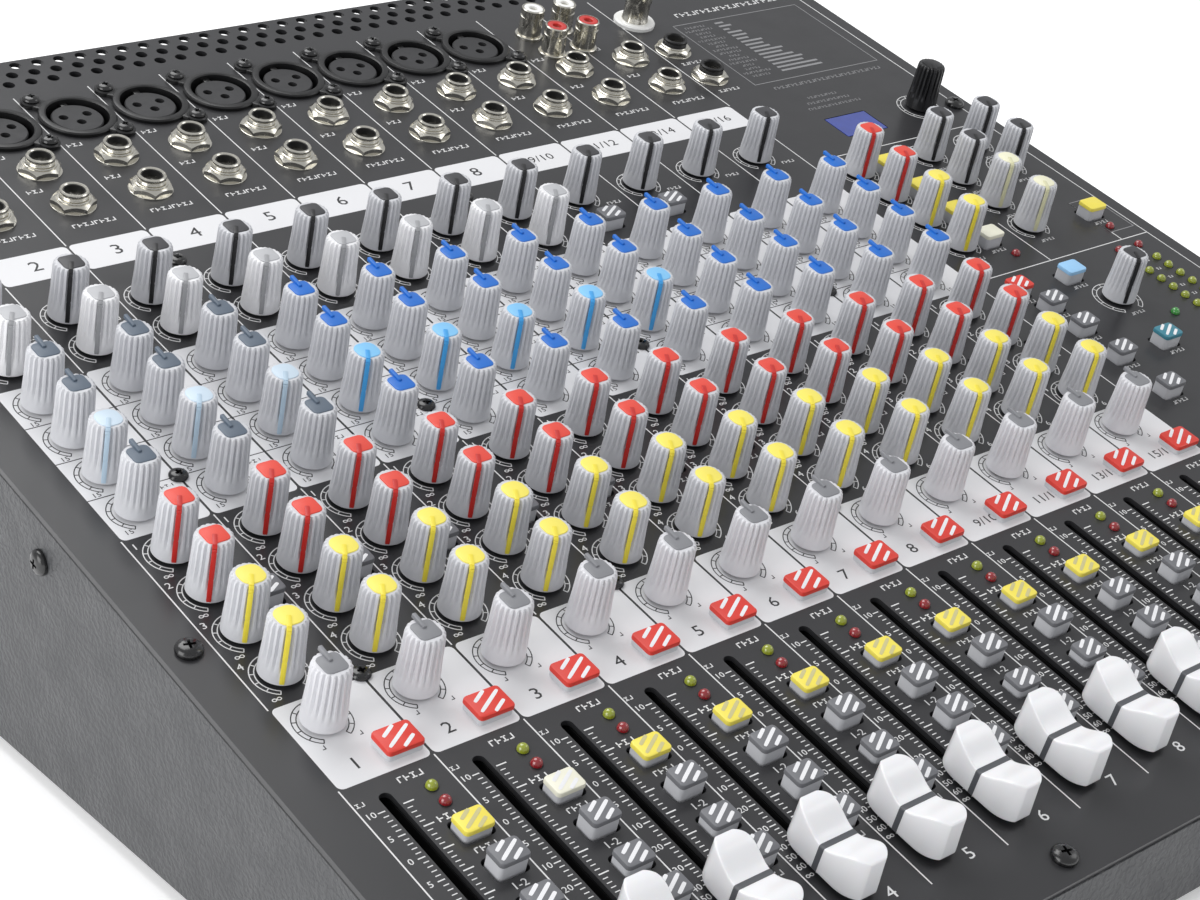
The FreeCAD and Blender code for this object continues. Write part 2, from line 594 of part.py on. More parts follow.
def chassis_tub():
    """The folded steel tub: bottom, front and side walls, and the lips that the top panel lies on."""
    tub = new_body("tub_blank")
    slope = "tan(Sizes.panel_tilt * 1deg)"
    drop = "Sizes.sheet_gauge / cos(Sizes.panel_tilt * 1deg)"
    depth = "Sizes.panel_length * cos(Sizes.panel_tilt * 1deg)"
    front_top = f"Sizes.front_height - {drop}"
    wall = new_sketch(tub, "tub_side_outline", "YZ_Plane")
    outline(wall, [
        ("0", "0"),
        (depth, "0"),
        (depth, f"{front_top} + {depth} * {slope}"),
        ("0", front_top),
    ])
    feature(tub, "Pad", "tub_block", wall, Length="Sizes.body_width", Midplane=True)
    inside = new_sketch(tub, "tub_inside_outline", "YZ_Plane")
    start = "Sizes.sheet_gauge"
    lip_under = f"{front_top} - {drop}"
    outline(inside, [
        (start, "Sizes.sheet_gauge"),
        (f"{depth} + 5", "Sizes.sheet_gauge"),
        (f"{depth} + 5", f"{lip_under} + ({depth} + 5) * {slope}"),
        (start, f"{lip_under} + {start} * {slope}"),
    ])
    feature(tub, "Pocket", "tub_inside", inside, Length="Sizes.body_width - 2 * Sizes.sheet_gauge", Midplane=True)
    mouth = new_sketch(tub, "tub_mouth_outline", "YZ_Plane")
    outline(mouth, [
        ("Sizes.lip_width", f"{lip_under} - 2 + Sizes.lip_width * {slope}"),
        (f"{depth} + 5", f"{lip_under} - 2 + ({depth} + 5) * {slope}"),
        (f"{depth} + 5", f"{front_top} + 5 + ({depth} + 5) * {slope}"),
        ("Sizes.lip_width", f"{front_top} + 5 + Sizes.lip_width * {slope}"),
    ])
    feature(tub, "Pocket", "tub_mouth", mouth, Length="Sizes.body_width - 2 * Sizes.lip_width", Midplane=True)
    tub.Placement = Placement(Vector(0, FRONT, FLOOR), Rotation())
    doc.recompute()
    holes = doc.addObject("Part::Feature", "tub_screw_holes")
    hole_height = 8.0
    bores = []
    for across, up in LARGE_SCREWS:
        bore = Part.makeCylinder(size("large_thread_radius") + size("thread_fit"), hole_height,
                                 Vector(0, 0, -hole_height))
        bore.Placement = on_panel(across, up)
        bores.append(bore)
    for side, up, level in SIDE_SCREWS:
        bore = Part.makeCylinder(size("large_thread_radius") + size("thread_fit"), 4.0, Vector(0, 0, -3.0))
        bore.Placement = side_place(side, up, level)
        bores.append(bore)
    holes.Shape = Part.Compound(bores)
    node(boolean("Cut", "chassis_tub", tub, holes), "chassis_tub")


def side_place(side, up, level):
    """A placement on a side wall, its Z axis pointing out, at a place up the slope and below the panel."""
    point = PANEL_FRAME.multVec(Vector(size("body_width") / 2, up, level))
    point.x = side * size("body_width") / 2
    return Placement(point, Rotation(Vector(0, 1, 0), 90 * side))


INLET_LENGTH = "Sizes.inlet_width + Sizes.rocker_width + Sizes.inlet_divider"


def rear_panel():
    """The flat rear plate between the side walls, with the cut-out of the mains inlet."""
    bottom = size("sheet_gauge") + size("sheet_gap")
    drop = size("sheet_gauge") / math.cos(math.radians(TILT))
    lip_under = size("front_height") - 2 * drop + (HOUSING_DEPTH - size("sheet_gauge")) * math.tan(math.radians(TILT))
    top = lip_under - size("sheet_gap")
    plate = primitive("Box", "rear_plate", Width="Sizes.sheet_gauge",
                      Length="Sizes.body_width - 2 * Sizes.sheet_gauge - 2 * Sizes.sheet_gap")
    plate.Height = top - bottom
    window = primitive("Box", "rear_window", Height="Sizes.inlet_height + 2 * Sizes.thread_fit", Width="20",
                       Length=f"{INLET_LENGTH} + 2 * Sizes.thread_fit")
    plate.Placement.Base = Vector(-size("body_width") / 2 + size("sheet_gauge") + size("sheet_gap"),
                                  REAR - size("sheet_gauge"), FLOOR + bottom)
    across, level = size("inlet_across"), size("inlet_level")
    window.Placement.Base = Vector(across - size("inlet_width") / 2 - size("thread_fit"), REAR - 10,
                                   level - size("inlet_height") / 2 - size("thread_fit"))
    node(boolean("Cut", "rear_panel", plate, window), "rear_panel")


def mains_inlet():
    """The mains inlet and the frame of the power rocker in one moulding, with three contact pins."""
    length = size(INLET_LENGTH)
    wall = size("inlet_wall")
    flange = size("inlet_flange")
    shell = primitive("Box", "inlet_shell", Height="Sizes.inlet_height", Width="Sizes.inlet_depth",
                      Length=INLET_LENGTH)
    frame = primitive("Box", "inlet_frame", Height="Sizes.inlet_height + 2 * Sizes.inlet_border",
                      Width="Sizes.inlet_flange", Length=f"{INLET_LENGTH} + 2 * Sizes.inlet_border")
    socket = primitive("Box", "inlet_socket", Height="Sizes.inlet_height - 2 * Sizes.inlet_wall",
                       Width="Sizes.inlet_depth", Length="Sizes.inlet_width - 2 * Sizes.inlet_wall")
    well = primitive("Box", "rocker_well", Height="Sizes.rocker_height + 2 * Sizes.rocker_gap",
                     Width="Sizes.inlet_depth - Sizes.inlet_divider", Length="Sizes.rocker_width + 2 * Sizes.rocker_gap")
    frame.Placement.Base = Vector(-size("inlet_border"), 0, -size("inlet_height") / 2 - size("inlet_border"))
    shell.Placement.Base = Vector(0, -size("inlet_depth"), -size("inlet_height") / 2)
    socket.Placement.Base = Vector(wall, flange + 1 - size("inlet_depth"), -size("inlet_height") / 2 + wall)
    well.Placement.Base = Vector(length - size("rocker_width") - 2 * size("rocker_gap") - wall,
                                 flange + 1 - size("inlet_depth") + size("inlet_divider"),
                                 -size("rocker_height") / 2 - size("rocker_gap"))
    body = boolean("Cut", "inlet_body", boolean("Fuse", "inlet_block", shell, frame), socket, well)
    pins = []
    middle = size("inlet_width") / 2
    pitch, pair_level = size("inlet_pin_pitch"), -size("inlet_pair_drop")
    places = {"earth": (0, size("inlet_earth_rise")), "live": (-pitch, pair_level), "neutral": (pitch, pair_level)}
    for name, (shift, rise) in places.items():
        pin = primitive("Box", f"{name}_pin", Length="Sizes.inlet_pin_gauge", Width="Sizes.inlet_pin_length",
                        Height="Sizes.inlet_pin_height")
        pin.Placement.Base = Vector(middle + shift - size("inlet_pin_gauge") / 2, flange - size("inlet_depth"),
                                    rise - size("inlet_pin_height") / 2)
        pins.append(pin)
    inlet = boolean("Fuse", "mains_inlet", body, *pins)
    across, level = size("inlet_across"), size("inlet_level")
    place = Placement(Vector(across - size("inlet_width") / 2, REAR, level), Rotation())
    node(inlet, "mains_inlet", place)
    rocker = new_body("power_rocker")
    side = new_sketch(rocker, "rocker_outline", "YZ_Plane")
    half = "Sizes.rocker_height / 2"
    outline(side, [
        (f"-{half} + Sizes.rocker_taper", "-Sizes.rocker_root"),
        (f"{half} - Sizes.rocker_taper", "-Sizes.rocker_root"),
        (half, "-Sizes.rocker_high_end"),
        ("0", "-Sizes.rocker_dip"),
        (f"-{half}", "-Sizes.rocker_low_end"),
    ])
    feature(rocker, "Pad", "rocker_block", side, Length="Sizes.rocker_width", Midplane=True)
    rocker_place = Vector(across - size("inlet_width") / 2 + length - wall - size("rocker_gap")
                          - size("rocker_width") / 2, REAR + flange, level)
    node(rocker, "power_rocker", Placement(rocker_place, Rotation(Vector(1, 0, 0), -90)))


def rubber_feet():
    """Four round rubber feet below the tub's corners."""
    foot = doc.addObject("Part::Cone", "foot_pattern")
    foot.setExpression("Radius1", "Sizes.foot_radius - 1")
    foot.setExpression("Radius2", "Sizes.foot_radius")
    foot.setExpression("Height", "Sizes.foot_height")
    inset = size("foot_inset")
    corners = [Vector(side * (size("body_width") / 2 - inset), y, 0)
               for side in (-1, 1) for y in (FRONT + inset, REAR - inset)]
    copies("rubber_feet", (foot, [Placement(corner, Rotation()) for corner in corners]))


def screw(name, kind):
    """A pan-head screw with a cross recess, its head above the origin and its thread below."""
    body = new_body(name)
    thread, head, height = (f"Sizes.{kind}_{word}" for word in ("thread_radius", "head_radius", "head_height"))
    turned(body, "Revolution", f"{name}_turned", [
        ("0", "-Sizes.screw_length"),
        (thread, "-Sizes.screw_length"),
        (thread, "0"),
        (head, "0"),
        (head, f"{height} * 0.4"),
        (f"{head} * 0.6", height),
        ("0", height),
    ])
    for place, (width, depth) in enumerate(((f"{head}", "Sizes.recess_width"), ("Sizes.recess_width", head))):
        cross = new_sketch(body, f"{name}_recess_outline_{place}", "XY_Plane", f"{height} * 0.5")
        box_outline(cross, width, depth)
        feature(body, "Pocket", f"{name}_recess_{place}", cross, Length=f"{height}", Reversed=True)
    return body


def machine_screws():
    """Every screw that shows: the panel's, the side walls' and the microphone sockets'."""
    small = screw("small_screw_pattern", "small")
    large = screw("large_screw_pattern", "large")
    ears = [on_panel(across, up, size("xlr_flange_height"), 30) for across, up in XLR_EARS]
    copies(
        "machine_screws",
        (small, [on_panel(across, up, 0, 20 * place) for place, (across, up) in enumerate(SMALL_SCREWS)] + ears),
        (large, [on_panel(across, up, 0, 35 * place) for place, (across, up) in enumerate(LARGE_SCREWS)]
         + [side_place(*screw_place) for screw_place in SIDE_SCREWS]),
    )


# ---------------------------------------------------------------- inside


def circuit_boards():
    """Three boards parallel to the panel: under the faders, under the knobs and under the sockets."""
    drops = {"fader": "control_board_drop", "knob": "control_board_drop", "socket": "socket_board_drop"}
    boards = []
    for name, drop in drops.items():
        board = primitive("Box", f"{name}_board", Height="Sizes.board_gauge",
                          Width=f"Sizes.{name}_board_end - Sizes.{name}_board_start",
                          Length="Sizes.body_width - 2 * Sizes.lip_width - 2 * Sizes.board_margin")
        board.Placement = on_panel(size("lip_width") + size("board_margin"), size(f"{name}_board_start"),
                                   -size(drop) - size("board_gauge"))
        boards.append(board)
    doc.recompute()
    group = doc.addObject("Part::Feature", "circuit_boards")
    group.Shape = Part.Compound([board.Shape for board in boards])
    node(group, "circuit_boards")


def power_transformer():
    """The ring transformer of the built-in supply, on the bottom plate behind."""
    ring = cylinder("transformer_ring", "Sizes.transformer_radius", "0", "Sizes.transformer_height")
    eye = cylinder("transformer_eye", "Sizes.transformer_radius / 3", "-1", "Sizes.transformer_height + 2")
    rounded = doc.addObject("Part::Fillet", "transformer_rounded")
    doc.recompute()
    rounded.Base = ring
    rounded.Edges = [(edge, size("transformer_edge"), size("transformer_edge")) for edge in (1, 3)]
    behind = REAR - size("transformer_radius") - size("transformer_space")
    place = Placement(Vector(size("transformer_across"), behind, FLOOR + size("sheet_gauge")), Rotation())
    node(boolean("Cut", "power_transformer", rounded, eye), "power_transformer", place)


def potentiometers(places):
    """The potentiometers under all the knobs, each with its spindle."""
    body = centred_box("pot_body", "Sizes.pot_width", "Sizes.pot_width", "-Sizes.control_board_drop",
                       "Sizes.pot_depth")
    bush = cylinder("pot_bush", "Sizes.spindle_radius + 0.4", "-Sizes.control_board_drop + Sizes.pot_depth - 1",
                    "Sizes.control_board_drop - Sizes.pot_depth + 1")
    spindle = cylinder("pot_spindle", "Sizes.spindle_radius", "-2", "Sizes.knob_lift + Sizes.knob_bore_depth + 1.5")
    pot = boolean("Fuse", "pot_pattern", body, bush, spindle)
    copies("potentiometers", (pot, at_places(places)))


def latching_switches(places):
    """The latching switches under all the buttons."""
    gap = "Sizes.control_board_drop - Sizes.button_reach - Sizes.latch_travel - 1.2"
    switch = centred_box("switch_pattern", "Sizes.switch_width", "Sizes.switch_width", "-Sizes.control_board_drop", gap)
    copies("latching_switches", (switch, at_places(places)))


def fader_tracks():
    """The faders' tracks, each a channel that its cap's tongue runs in."""
    block = centred_box("track_block", "Sizes.track_width", "Sizes.track_length",
                        "-Sizes.sheet_gauge - Sizes.track_height", "Sizes.track_height - Sizes.part_gap")
    groove = centred_box("track_groove", "Sizes.slot_width", "Sizes.track_length - 6",
                         "-Sizes.sheet_gauge - Sizes.track_height + 1.5", "Sizes.track_height")
    track = boolean("Cut", "track_pattern", block, groove)
    middle = size("fader_row") + size("fader_travel") / 2
    copies("fader_tracks", (track, at_places([(across, middle) for across in FADERS.values()])))


# ---------------------------------------------------------------- controls


def knob(name, pointer):
    """A tapered knob on the Z axis with a blind hole for its spindle and, if asked for, a raised pointer."""
    body = new_body(name)
    bore = "Sizes.spindle_radius + Sizes.spindle_fit"
    turned(body, "Revolution", f"{name}_turned", [
        (bore, "0"),
        ("Sizes.knob_base_radius", "0"),
        ("Sizes.knob_base_radius - 0.1", "2.2"),
        ("Sizes.knob_top_radius", "Sizes.knob_height - 0.5"),
        ("Sizes.knob_top_radius - 0.5", "Sizes.knob_height"),
        ("0", "Sizes.knob_height"),
        ("0", "Sizes.knob_bore_depth"),
        (bore, "Sizes.knob_bore_depth"),
    ])
    if pointer:
        fin = new_sketch(body, f"{name}_pointer_outline", "XY_Plane", "Sizes.knob_height - 0.5")
        half = "Sizes.pointer_width / 2"
        tip = "Sizes.knob_top_radius + 0.6"
        outline(fin, [
            (f"-{half}", f"{tip} - Sizes.pointer_length"),
            (half, f"{tip} - Sizes.pointer_length"),
            (half, tip),
            (f"-{half}", tip),
        ])
        feature(body, "Pad", f"{name}_pointer", fin, Length="Sizes.pointer_height + 0.5")
    return body


def button(name, width, depth):
    """A push button: one rounded block from below the panel to its top."""
    body = new_body(name)
    base = new_sketch(body, f"{name}_outline", "XY_Plane", "-Sizes.button_reach")
    box_outline(base, f"Sizes.{width}", f"Sizes.{depth}")
    pad = feature(body, "Pad", f"{name}_block", base, Length="Sizes.button_reach + Sizes.button_rise")
    doc.recompute()
    upright = [f"Edge{place + 1}" for place, edge in enumerate(pad.Shape.Edges)
               if abs(edge.tangentAt(edge.FirstParameter).z) > 0.9]
    rounding = body.newObject("PartDesign::Fillet", f"{name}_corners")
    rounding.Base = (pad, upright)
    rounding.setExpression("Radius", "Sizes.button_corner")
    return body


def fader_cap(name):
    """A fader cap with leaning ends and a finger dish, and the tongue that passes through the slot."""
    body = new_body(name)
    side = new_sketch(body, f"{name}_outline", "YZ_Plane")
    half = "Sizes.cap_length / 2"
    top = "Sizes.cap_lift + Sizes.cap_height"
    outline(side, [
        (f"-{half}", "Sizes.cap_lift"),
        (half, "Sizes.cap_lift"),
        (f"{half} - Sizes.cap_slope", top),
        (f"-{half} + Sizes.cap_slope", top),
    ])
    feature(body, "Pad", f"{name}_block", side, Length="Sizes.cap_width", Midplane=True)
    dish = new_sketch(body, f"{name}_dish_outline", "YZ_Plane")
    circle(dish, "0", f"{top} + Sizes.cap_dish_radius - Sizes.cap_dish_depth", "Sizes.cap_dish_radius")
    feature(body, "Pocket", f"{name}_dish", dish, Length="Sizes.cap_width + 2", Midplane=True)
    tongue = new_sketch(body, f"{name}_tongue_outline", "YZ_Plane")
    outline(tongue, [
        ("-Sizes.stem_width / 2", "-Sizes.stem_reach"),
        ("Sizes.stem_width / 2", "-Sizes.stem_reach"),
        ("Sizes.stem_width / 2", "Sizes.cap_lift + 1"),
        ("-Sizes.stem_width / 2", "Sizes.cap_lift + 1"),
    ])
    feature(body, "Pad", f"{name}_tongue", tongue, Length="Sizes.stem_thickness", Midplane=True)
    return body


POINTER_KNOBS = ("pan", "low", "mid", "high")


def controls():
    """Every knob, button and fader: the first strip's and the faders one by one, the others in groups."""
    lift = size("knob_lift")
    first = slot_of(1) + size("knob_offset")
    for name, up in KNOB_ROWS.items():
        label = f"{name}_knob_1"
        node(knob(label, name in POINTER_KNOBS), label, on_panel(first, up, lift))
    node(knob("monitor_level_knob", False), "monitor_level_knob", on_panel(*MASTER["monitor_knob"], lift))

    plain = knob("plain_knob_pattern", False)
    pointed = knob("pointed_knob_pattern", True)

    def knob_places(rows, strips=STRIPS[1:]):
        """Placements of the knobs of some rows on some strips."""
        return [on_panel(slot_of(strip) + size("knob_offset"), KNOB_ROWS[row], lift)
                for row in rows for strip in strips]

    stereo = [strip for strip in STRIPS if strip not in MONO_STRIPS]
    copies("gain_knobs", (plain, knob_places(["gain"])))
    copies("compressor_knobs", (plain, knob_places(["compressor"], MONO_STRIPS[1:])))
    copies("equaliser_knobs", (pointed, knob_places(["low", "mid", "high"]) + knob_places(["frequency"], stereo)),
           (plain, knob_places(["frequency"], MONO_STRIPS[1:])))
    copies("auxiliary_knobs", (plain, knob_places(["aux_1", "aux_2", "aux_3", "aux_4"])))
    copies("pan_knobs", (pointed, knob_places(["pan"])))
    copies("master_knobs", (plain, at_places(MASTER_KNOBS, lift)))

    column = slot_of(1) + size("button_offset")
    latched = -size("latch_travel")
    for name, up in BUTTON_ROWS.items():
        label = f"{name}_button_1"
        out = latched if name in ("solo", "group_3_4") else 0.0
        node(button(label, "button_width", "button_depth"), label, on_panel(column, up, out))
    node(button("mute_button_1", "mute_width", "mute_depth"), "mute_button_1",
         on_panel(column, size("mute_row"), latched))

    small = button("small_button_pattern", "button_width", "button_depth")
    large = button("mute_button_pattern", "mute_width", "mute_depth")
    others = STRIPS[1:]
    released = [on_panel(slot_of(strip) + size("button_offset"), up, 0.0)
                for name, up in BUTTON_ROWS.items() for strip in others if not is_latched(name, strip)]
    pressed = [on_panel(slot_of(strip) + size("button_offset"), up, latched)
               for name, up in BUTTON_ROWS.items() for strip in others if is_latched(name, strip)]
    low_cut = [on_panel(slot_of(strip) + size("knob_offset"), KNOB_ROWS["compressor"]) for strip in LOW_CUT_STRIPS]
    mutes = [on_panel(slot_of(strip) + size("button_offset"), size("mute_row"), latched) for strip in others]
    copies("channel_buttons", (small, released + pressed + low_cut), (large, mutes))
    copies("master_buttons", (small, at_places(MASTER_BUTTONS)))

    for label, across in FADERS.items():
        node(fader_cap(label), label, on_panel(across, size("fader_row")))


def is_latched(name, strip):
    """Whether a channel button stands latched down at rest."""
    return name == "solo" or (name == "group_3_4" and strip in LATCHED_STRIPS)


# ---------------------------------------------------------------- sockets and lamps


def xlr_sockets():
    """The microphone sockets: a round shell with two ears, an insert and three contact holes."""
    body = new_body("xlr_pattern")
    flange = "Sizes.xlr_flange_height"
    arm = new_sketch(body, "xlr_arm_outline", "XY_Plane")
    across, up, slimness = "Sizes.xlr_ear_across", "Sizes.xlr_ear_up", "Sizes.xlr_arm_slimness"
    outline(arm, [
        (f"-{across} - {slimness} * {up}", f"{up} - {slimness} * {across}"),
        (f"{across} - {slimness} * {up}", f"-{up} - {slimness} * {across}"),
        (f"{across} + {slimness} * {up}", f"-{up} + {slimness} * {across}"),
        (f"-{across} + {slimness} * {up}", f"{up} + {slimness} * {across}"),
    ])
    feature(body, "Pad", "xlr_arms", arm, Length=flange)
    for place, side in enumerate(("-", "")):
        ear = new_sketch(body, f"xlr_ear_outline_{place}", "XY_Plane")
        opposite = "" if side == "-" else "-"
        circle(ear, f"{side}Sizes.xlr_ear_across", f"{opposite}Sizes.xlr_ear_up", "Sizes.xlr_ear_radius")
        feature(body, "Pad", f"xlr_ear_{place}", ear, Length=flange)
        if place == 0:
            turned(body, "Revolution", "xlr_shell", [
                ("0", "-Sizes.xlr_barrel_depth"),
                ("Sizes.xlr_barrel_radius", "-Sizes.xlr_barrel_depth"),
                ("Sizes.xlr_barrel_radius", "0"),
                ("Sizes.xlr_flange_radius", "0"),
                ("Sizes.xlr_flange_radius", flange),
                ("0", flange),
            ])
    turned(body, "Groove", "xlr_gap", [
        ("0", "0.2"),
        ("Sizes.xlr_groove_inner", "0.2"),
        ("Sizes.xlr_groove_inner", "-Sizes.xlr_groove_depth"),
        ("Sizes.xlr_groove_outer", "-Sizes.xlr_groove_depth"),
        ("Sizes.xlr_groove_outer", f"{flange} + 1"),
        ("0", f"{flange} + 1"),
    ])
    contacts = new_sketch(body, "xlr_contact_outline", "XY_Plane")
    for across, up in (("-Sizes.xlr_contact_circle", "1.4"), ("Sizes.xlr_contact_circle", "1.4"),
                       ("0", "-0.65 * Sizes.xlr_contact_circle")):
        circle(contacts, across, up, "Sizes.xlr_contact_radius")
    feature(body, "Pocket", "xlr_contacts", contacts, Length="16", Midplane=True)
    threads = new_sketch(body, "xlr_thread_outline", "XY_Plane")
    for side, opposite in (("-", ""), ("", "-")):
        circle(threads, f"{side}Sizes.xlr_ear_across", f"{opposite}Sizes.xlr_ear_up",
               "Sizes.small_thread_radius + Sizes.thread_fit")
    feature(body, "Pocket", "xlr_threads", threads, Length="10", Midplane=True)
    copies("xlr_sockets", (body, at_places(XLRS)))


def jack_sockets():
    """The jack sockets, each a body with a threaded bush and a blind hole for the plug, and their nuts."""
    floor = "-Sizes.jack_body_depth - Sizes.sheet_gauge - Sizes.sheet_gap"
    body = centred_box("jack_body", "Sizes.jack_body_width", "Sizes.jack_body_width", floor, "Sizes.jack_body_depth")
    bush = cylinder("jack_bush", "Sizes.jack_bush_radius", floor,
                    "Sizes.jack_body_depth + Sizes.sheet_gauge + Sizes.sheet_gap + Sizes.jack_bush_rise")
    bore = cylinder("jack_bore", "Sizes.jack_bore_radius", f"{floor} + 1.5", "60")
    jack = boolean("Cut", "jack_pattern", boolean("Fuse", "jack_block", body, bush), bore)
    copies("jack_sockets", (jack, at_places(JACKS)))
    hexagon = primitive("Prism", "nut_block", Circumradius="Sizes.nut_radius", Height="Sizes.nut_height")
    hexagon.Polygon = 6
    eye = cylinder("nut_eye", "Sizes.jack_bush_radius + Sizes.thread_fit", "-1", "Sizes.nut_height + 2")
    nut = boolean("Cut", "nut_pattern", hexagon, eye)
    turns = [17.0 * place for place in range(len(JACKS))]
    copies("jack_nuts", (nut, [on_panel(across, up, 0, turn) for (across, up), turn in zip(JACKS, turns)]))


def phono_sockets():
    """The phono sockets, each a barrel with a flange and a contact hole."""
    body = new_body("phono_pattern")
    turned(body, "Revolution", "phono_turned", [
        ("0", "-10"),
        ("Sizes.phono_radius", "-10"),
        ("Sizes.phono_radius", "0"),
        ("Sizes.phono_flange_radius", "0"),
        ("Sizes.phono_flange_radius", "1.2"),
        ("Sizes.phono_radius", "1.2"),
        ("Sizes.phono_radius", "Sizes.phono_rise"),
        ("Sizes.phono_bore_radius", "Sizes.phono_rise"),
        ("Sizes.phono_bore_radius", "-6"),
        ("0", "-6"),
    ])
    copies("phono_sockets", (body, at_places(PHONOS)))


def lamp_socket():
    """The bayonet socket for a lamp, with its insulating ring and two lugs."""
    body = new_body("lamp_barrel")
    turned(body, "Revolution", "lamp_turned", [
        ("0", "-12"),
        ("Sizes.lamp_barrel_radius", "-12"),
        ("Sizes.lamp_barrel_radius", "0"),
        ("Sizes.lamp_flange_radius", "0"),
        ("Sizes.lamp_flange_radius", "1.6"),
        ("Sizes.lamp_barrel_radius", "1.6"),
        ("Sizes.lamp_barrel_radius", "Sizes.lamp_rise"),
        ("Sizes.lamp_barrel_radius - 1.1", "Sizes.lamp_rise"),
        ("Sizes.lamp_barrel_radius - 1.1", "3"),
        ("2.1", "3"),
        ("2.1", "Sizes.lamp_rise - 2"),
        ("0", "Sizes.lamp_rise - 2"),
    ])
    lug = primitive("Cylinder", "lamp_lug", Radius=0.95, Height="2 * Sizes.lamp_barrel_radius + 2.4")
    lug.Placement = Placement(Vector(-size("lamp_barrel_radius") - 1.2, 0, size("lamp_rise") - 2.2),
                              Rotation(Vector(0, 1, 0), 90))
    throat = cylinder("lamp_throat", "Sizes.lamp_barrel_radius - 0.6", "0", "Sizes.lamp_rise + 5")
    lugs = boolean("Cut", "lamp_lugs", lug, throat)
    node(boolean("Fuse", "lamp_socket", body, lugs), "lamp_socket", on_panel(*LAMP_SOCKET))


def indicator_leds():
    """The round-headed lamps of the strips, the meter and the master section."""
    stem = cylinder("led_stem", "Sizes.led_radius", "-6", "6 + Sizes.led_rise - Sizes.led_radius + 0.5")
    dome = primitive("Sphere", "led_dome", Radius="Sizes.led_radius",
                     Atz="Sizes.led_rise - Sizes.led_radius")
    led = boolean("Fuse", "led_pattern", stem, dome)
    copies("indicator_leds", (led, at_places(LED_PLACES)))


def effects_display():
    """The effects display's window, set into the panel."""
    gap = size("part_gap")
    across, up = MASTER["effects_display"]
    window = primitive("Box", "effects_display")
    window.setExpression("Length", "Sizes.display_width - 2 * Sizes.part_gap")
    window.setExpression("Width", "Sizes.display_depth - 2 * Sizes.part_gap")
    window.setExpression("Height", "Sizes.sheet_gauge + 3")
    node(window, "effects_display",
         on_panel(across - size("display_width") / 2 + gap, up - size("display_depth") / 2 + gap,
                  -size("sheet_gauge") - 3))


# ---------------------------------------------------------------- the whole object

top_panel()
chassis_tub()
rear_panel()
rubber_feet()
machine_screws()
circuit_boards()
power_transformer()
mains_inlet()
controls()
xlr_sockets()
jack_sockets()
phono_sockets()
lamp_socket()
indicator_leds()
effects_display()
fader_tracks()
potentiometers(
    [(slot_of(strip) + size("knob_offset"), up) for strip in STRIPS for name, up in KNOB_ROWS.items()
     if name != "compressor" or strip in MONO_STRIPS] + MASTER_KNOBS + [MASTER["monitor_knob"]]
)
latching_switches(
    [(slot_of(strip) + size("button_offset"), up) for strip in STRIPS for up in BUTTON_ROWS.values()]
    + [(slot_of(strip) + size("button_offset"), size("mute_row")) for strip in STRIPS]
    + [(slot_of(strip) + size("knob_offset"), KNOB_ROWS["compressor"]) for strip in LOW_CUT_STRIPS]
    + MASTER_BUTTONS
)
doc.recompute()

for item in doc.Objects:
    if "Invalid" in item.State or "Error" in item.State:
        raise RuntimeError(f"{item.Label} failed: {item.State}")
for piece in NODES:
    if piece.Shape.isNull() or not piece.Shape.isValid():
        raise RuntimeError(f"{piece.Label} has no valid shape")

os.makedirs("parts", exist_ok=True)
for piece in NODES:
    piece.Shape.exportStep(f"parts/{piece.Label}.step")
print(f"{len(NODES)} nodes written")
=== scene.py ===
"""The looks of a mixing console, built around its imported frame.

Sizes are in metres. Places on the sloping top panel are given as (across, up, out): from the panel's left
edge, from its front edge up the slope, and out from its upper face. Those of real pieces are read from the
frame's own solids; those of the print are named below.
"""

import json
import logging
import math
from collections.abc import Callable, Iterable, Sequence
from contextlib import contextmanager
from dataclasses import dataclass, field, replace
from enum import Enum

import bmesh
import bpy
import numpy as np
from mathutils import Matrix, Vector


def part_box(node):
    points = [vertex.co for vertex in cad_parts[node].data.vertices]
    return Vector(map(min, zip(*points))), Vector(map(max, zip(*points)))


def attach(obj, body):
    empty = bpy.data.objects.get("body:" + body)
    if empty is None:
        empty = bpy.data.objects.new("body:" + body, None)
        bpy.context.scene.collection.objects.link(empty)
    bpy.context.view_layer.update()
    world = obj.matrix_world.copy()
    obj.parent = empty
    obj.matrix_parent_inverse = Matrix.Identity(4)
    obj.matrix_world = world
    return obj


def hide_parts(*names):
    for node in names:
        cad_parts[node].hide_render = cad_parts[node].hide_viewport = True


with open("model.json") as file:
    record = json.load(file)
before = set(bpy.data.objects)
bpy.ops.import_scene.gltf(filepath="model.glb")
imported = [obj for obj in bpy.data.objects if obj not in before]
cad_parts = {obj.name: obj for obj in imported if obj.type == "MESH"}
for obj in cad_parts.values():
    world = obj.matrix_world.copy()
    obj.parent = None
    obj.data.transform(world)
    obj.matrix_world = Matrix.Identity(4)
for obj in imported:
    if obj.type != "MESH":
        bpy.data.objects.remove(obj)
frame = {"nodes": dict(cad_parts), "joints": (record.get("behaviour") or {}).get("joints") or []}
LOG = logging.getLogger("mixing_console")
MM = 0.001
TINY = 1e-6
ROOT = "root"


# ---------------------------------------------------------------- finishes


def linear(colour: str) -> tuple[float, float, float, float]:
    """A six-digit screen colour as linear red, green, blue and alpha."""
    parts = [int(colour[place:place + 2], 16) / 255 for place in (0, 2, 4)]
    return (*[part / 12.92 if part <= 0.04045 else ((part + 0.055) / 1.055) ** 2.4 for part in parts], 1.0)


class Grain(Enum):
    """The fine relief of a surface."""

    MOULDED = "moulded"
    POWDER = "powder"
    PAINT = "paint"
    TURNED = "turned"
    LAMINATE = "laminate"


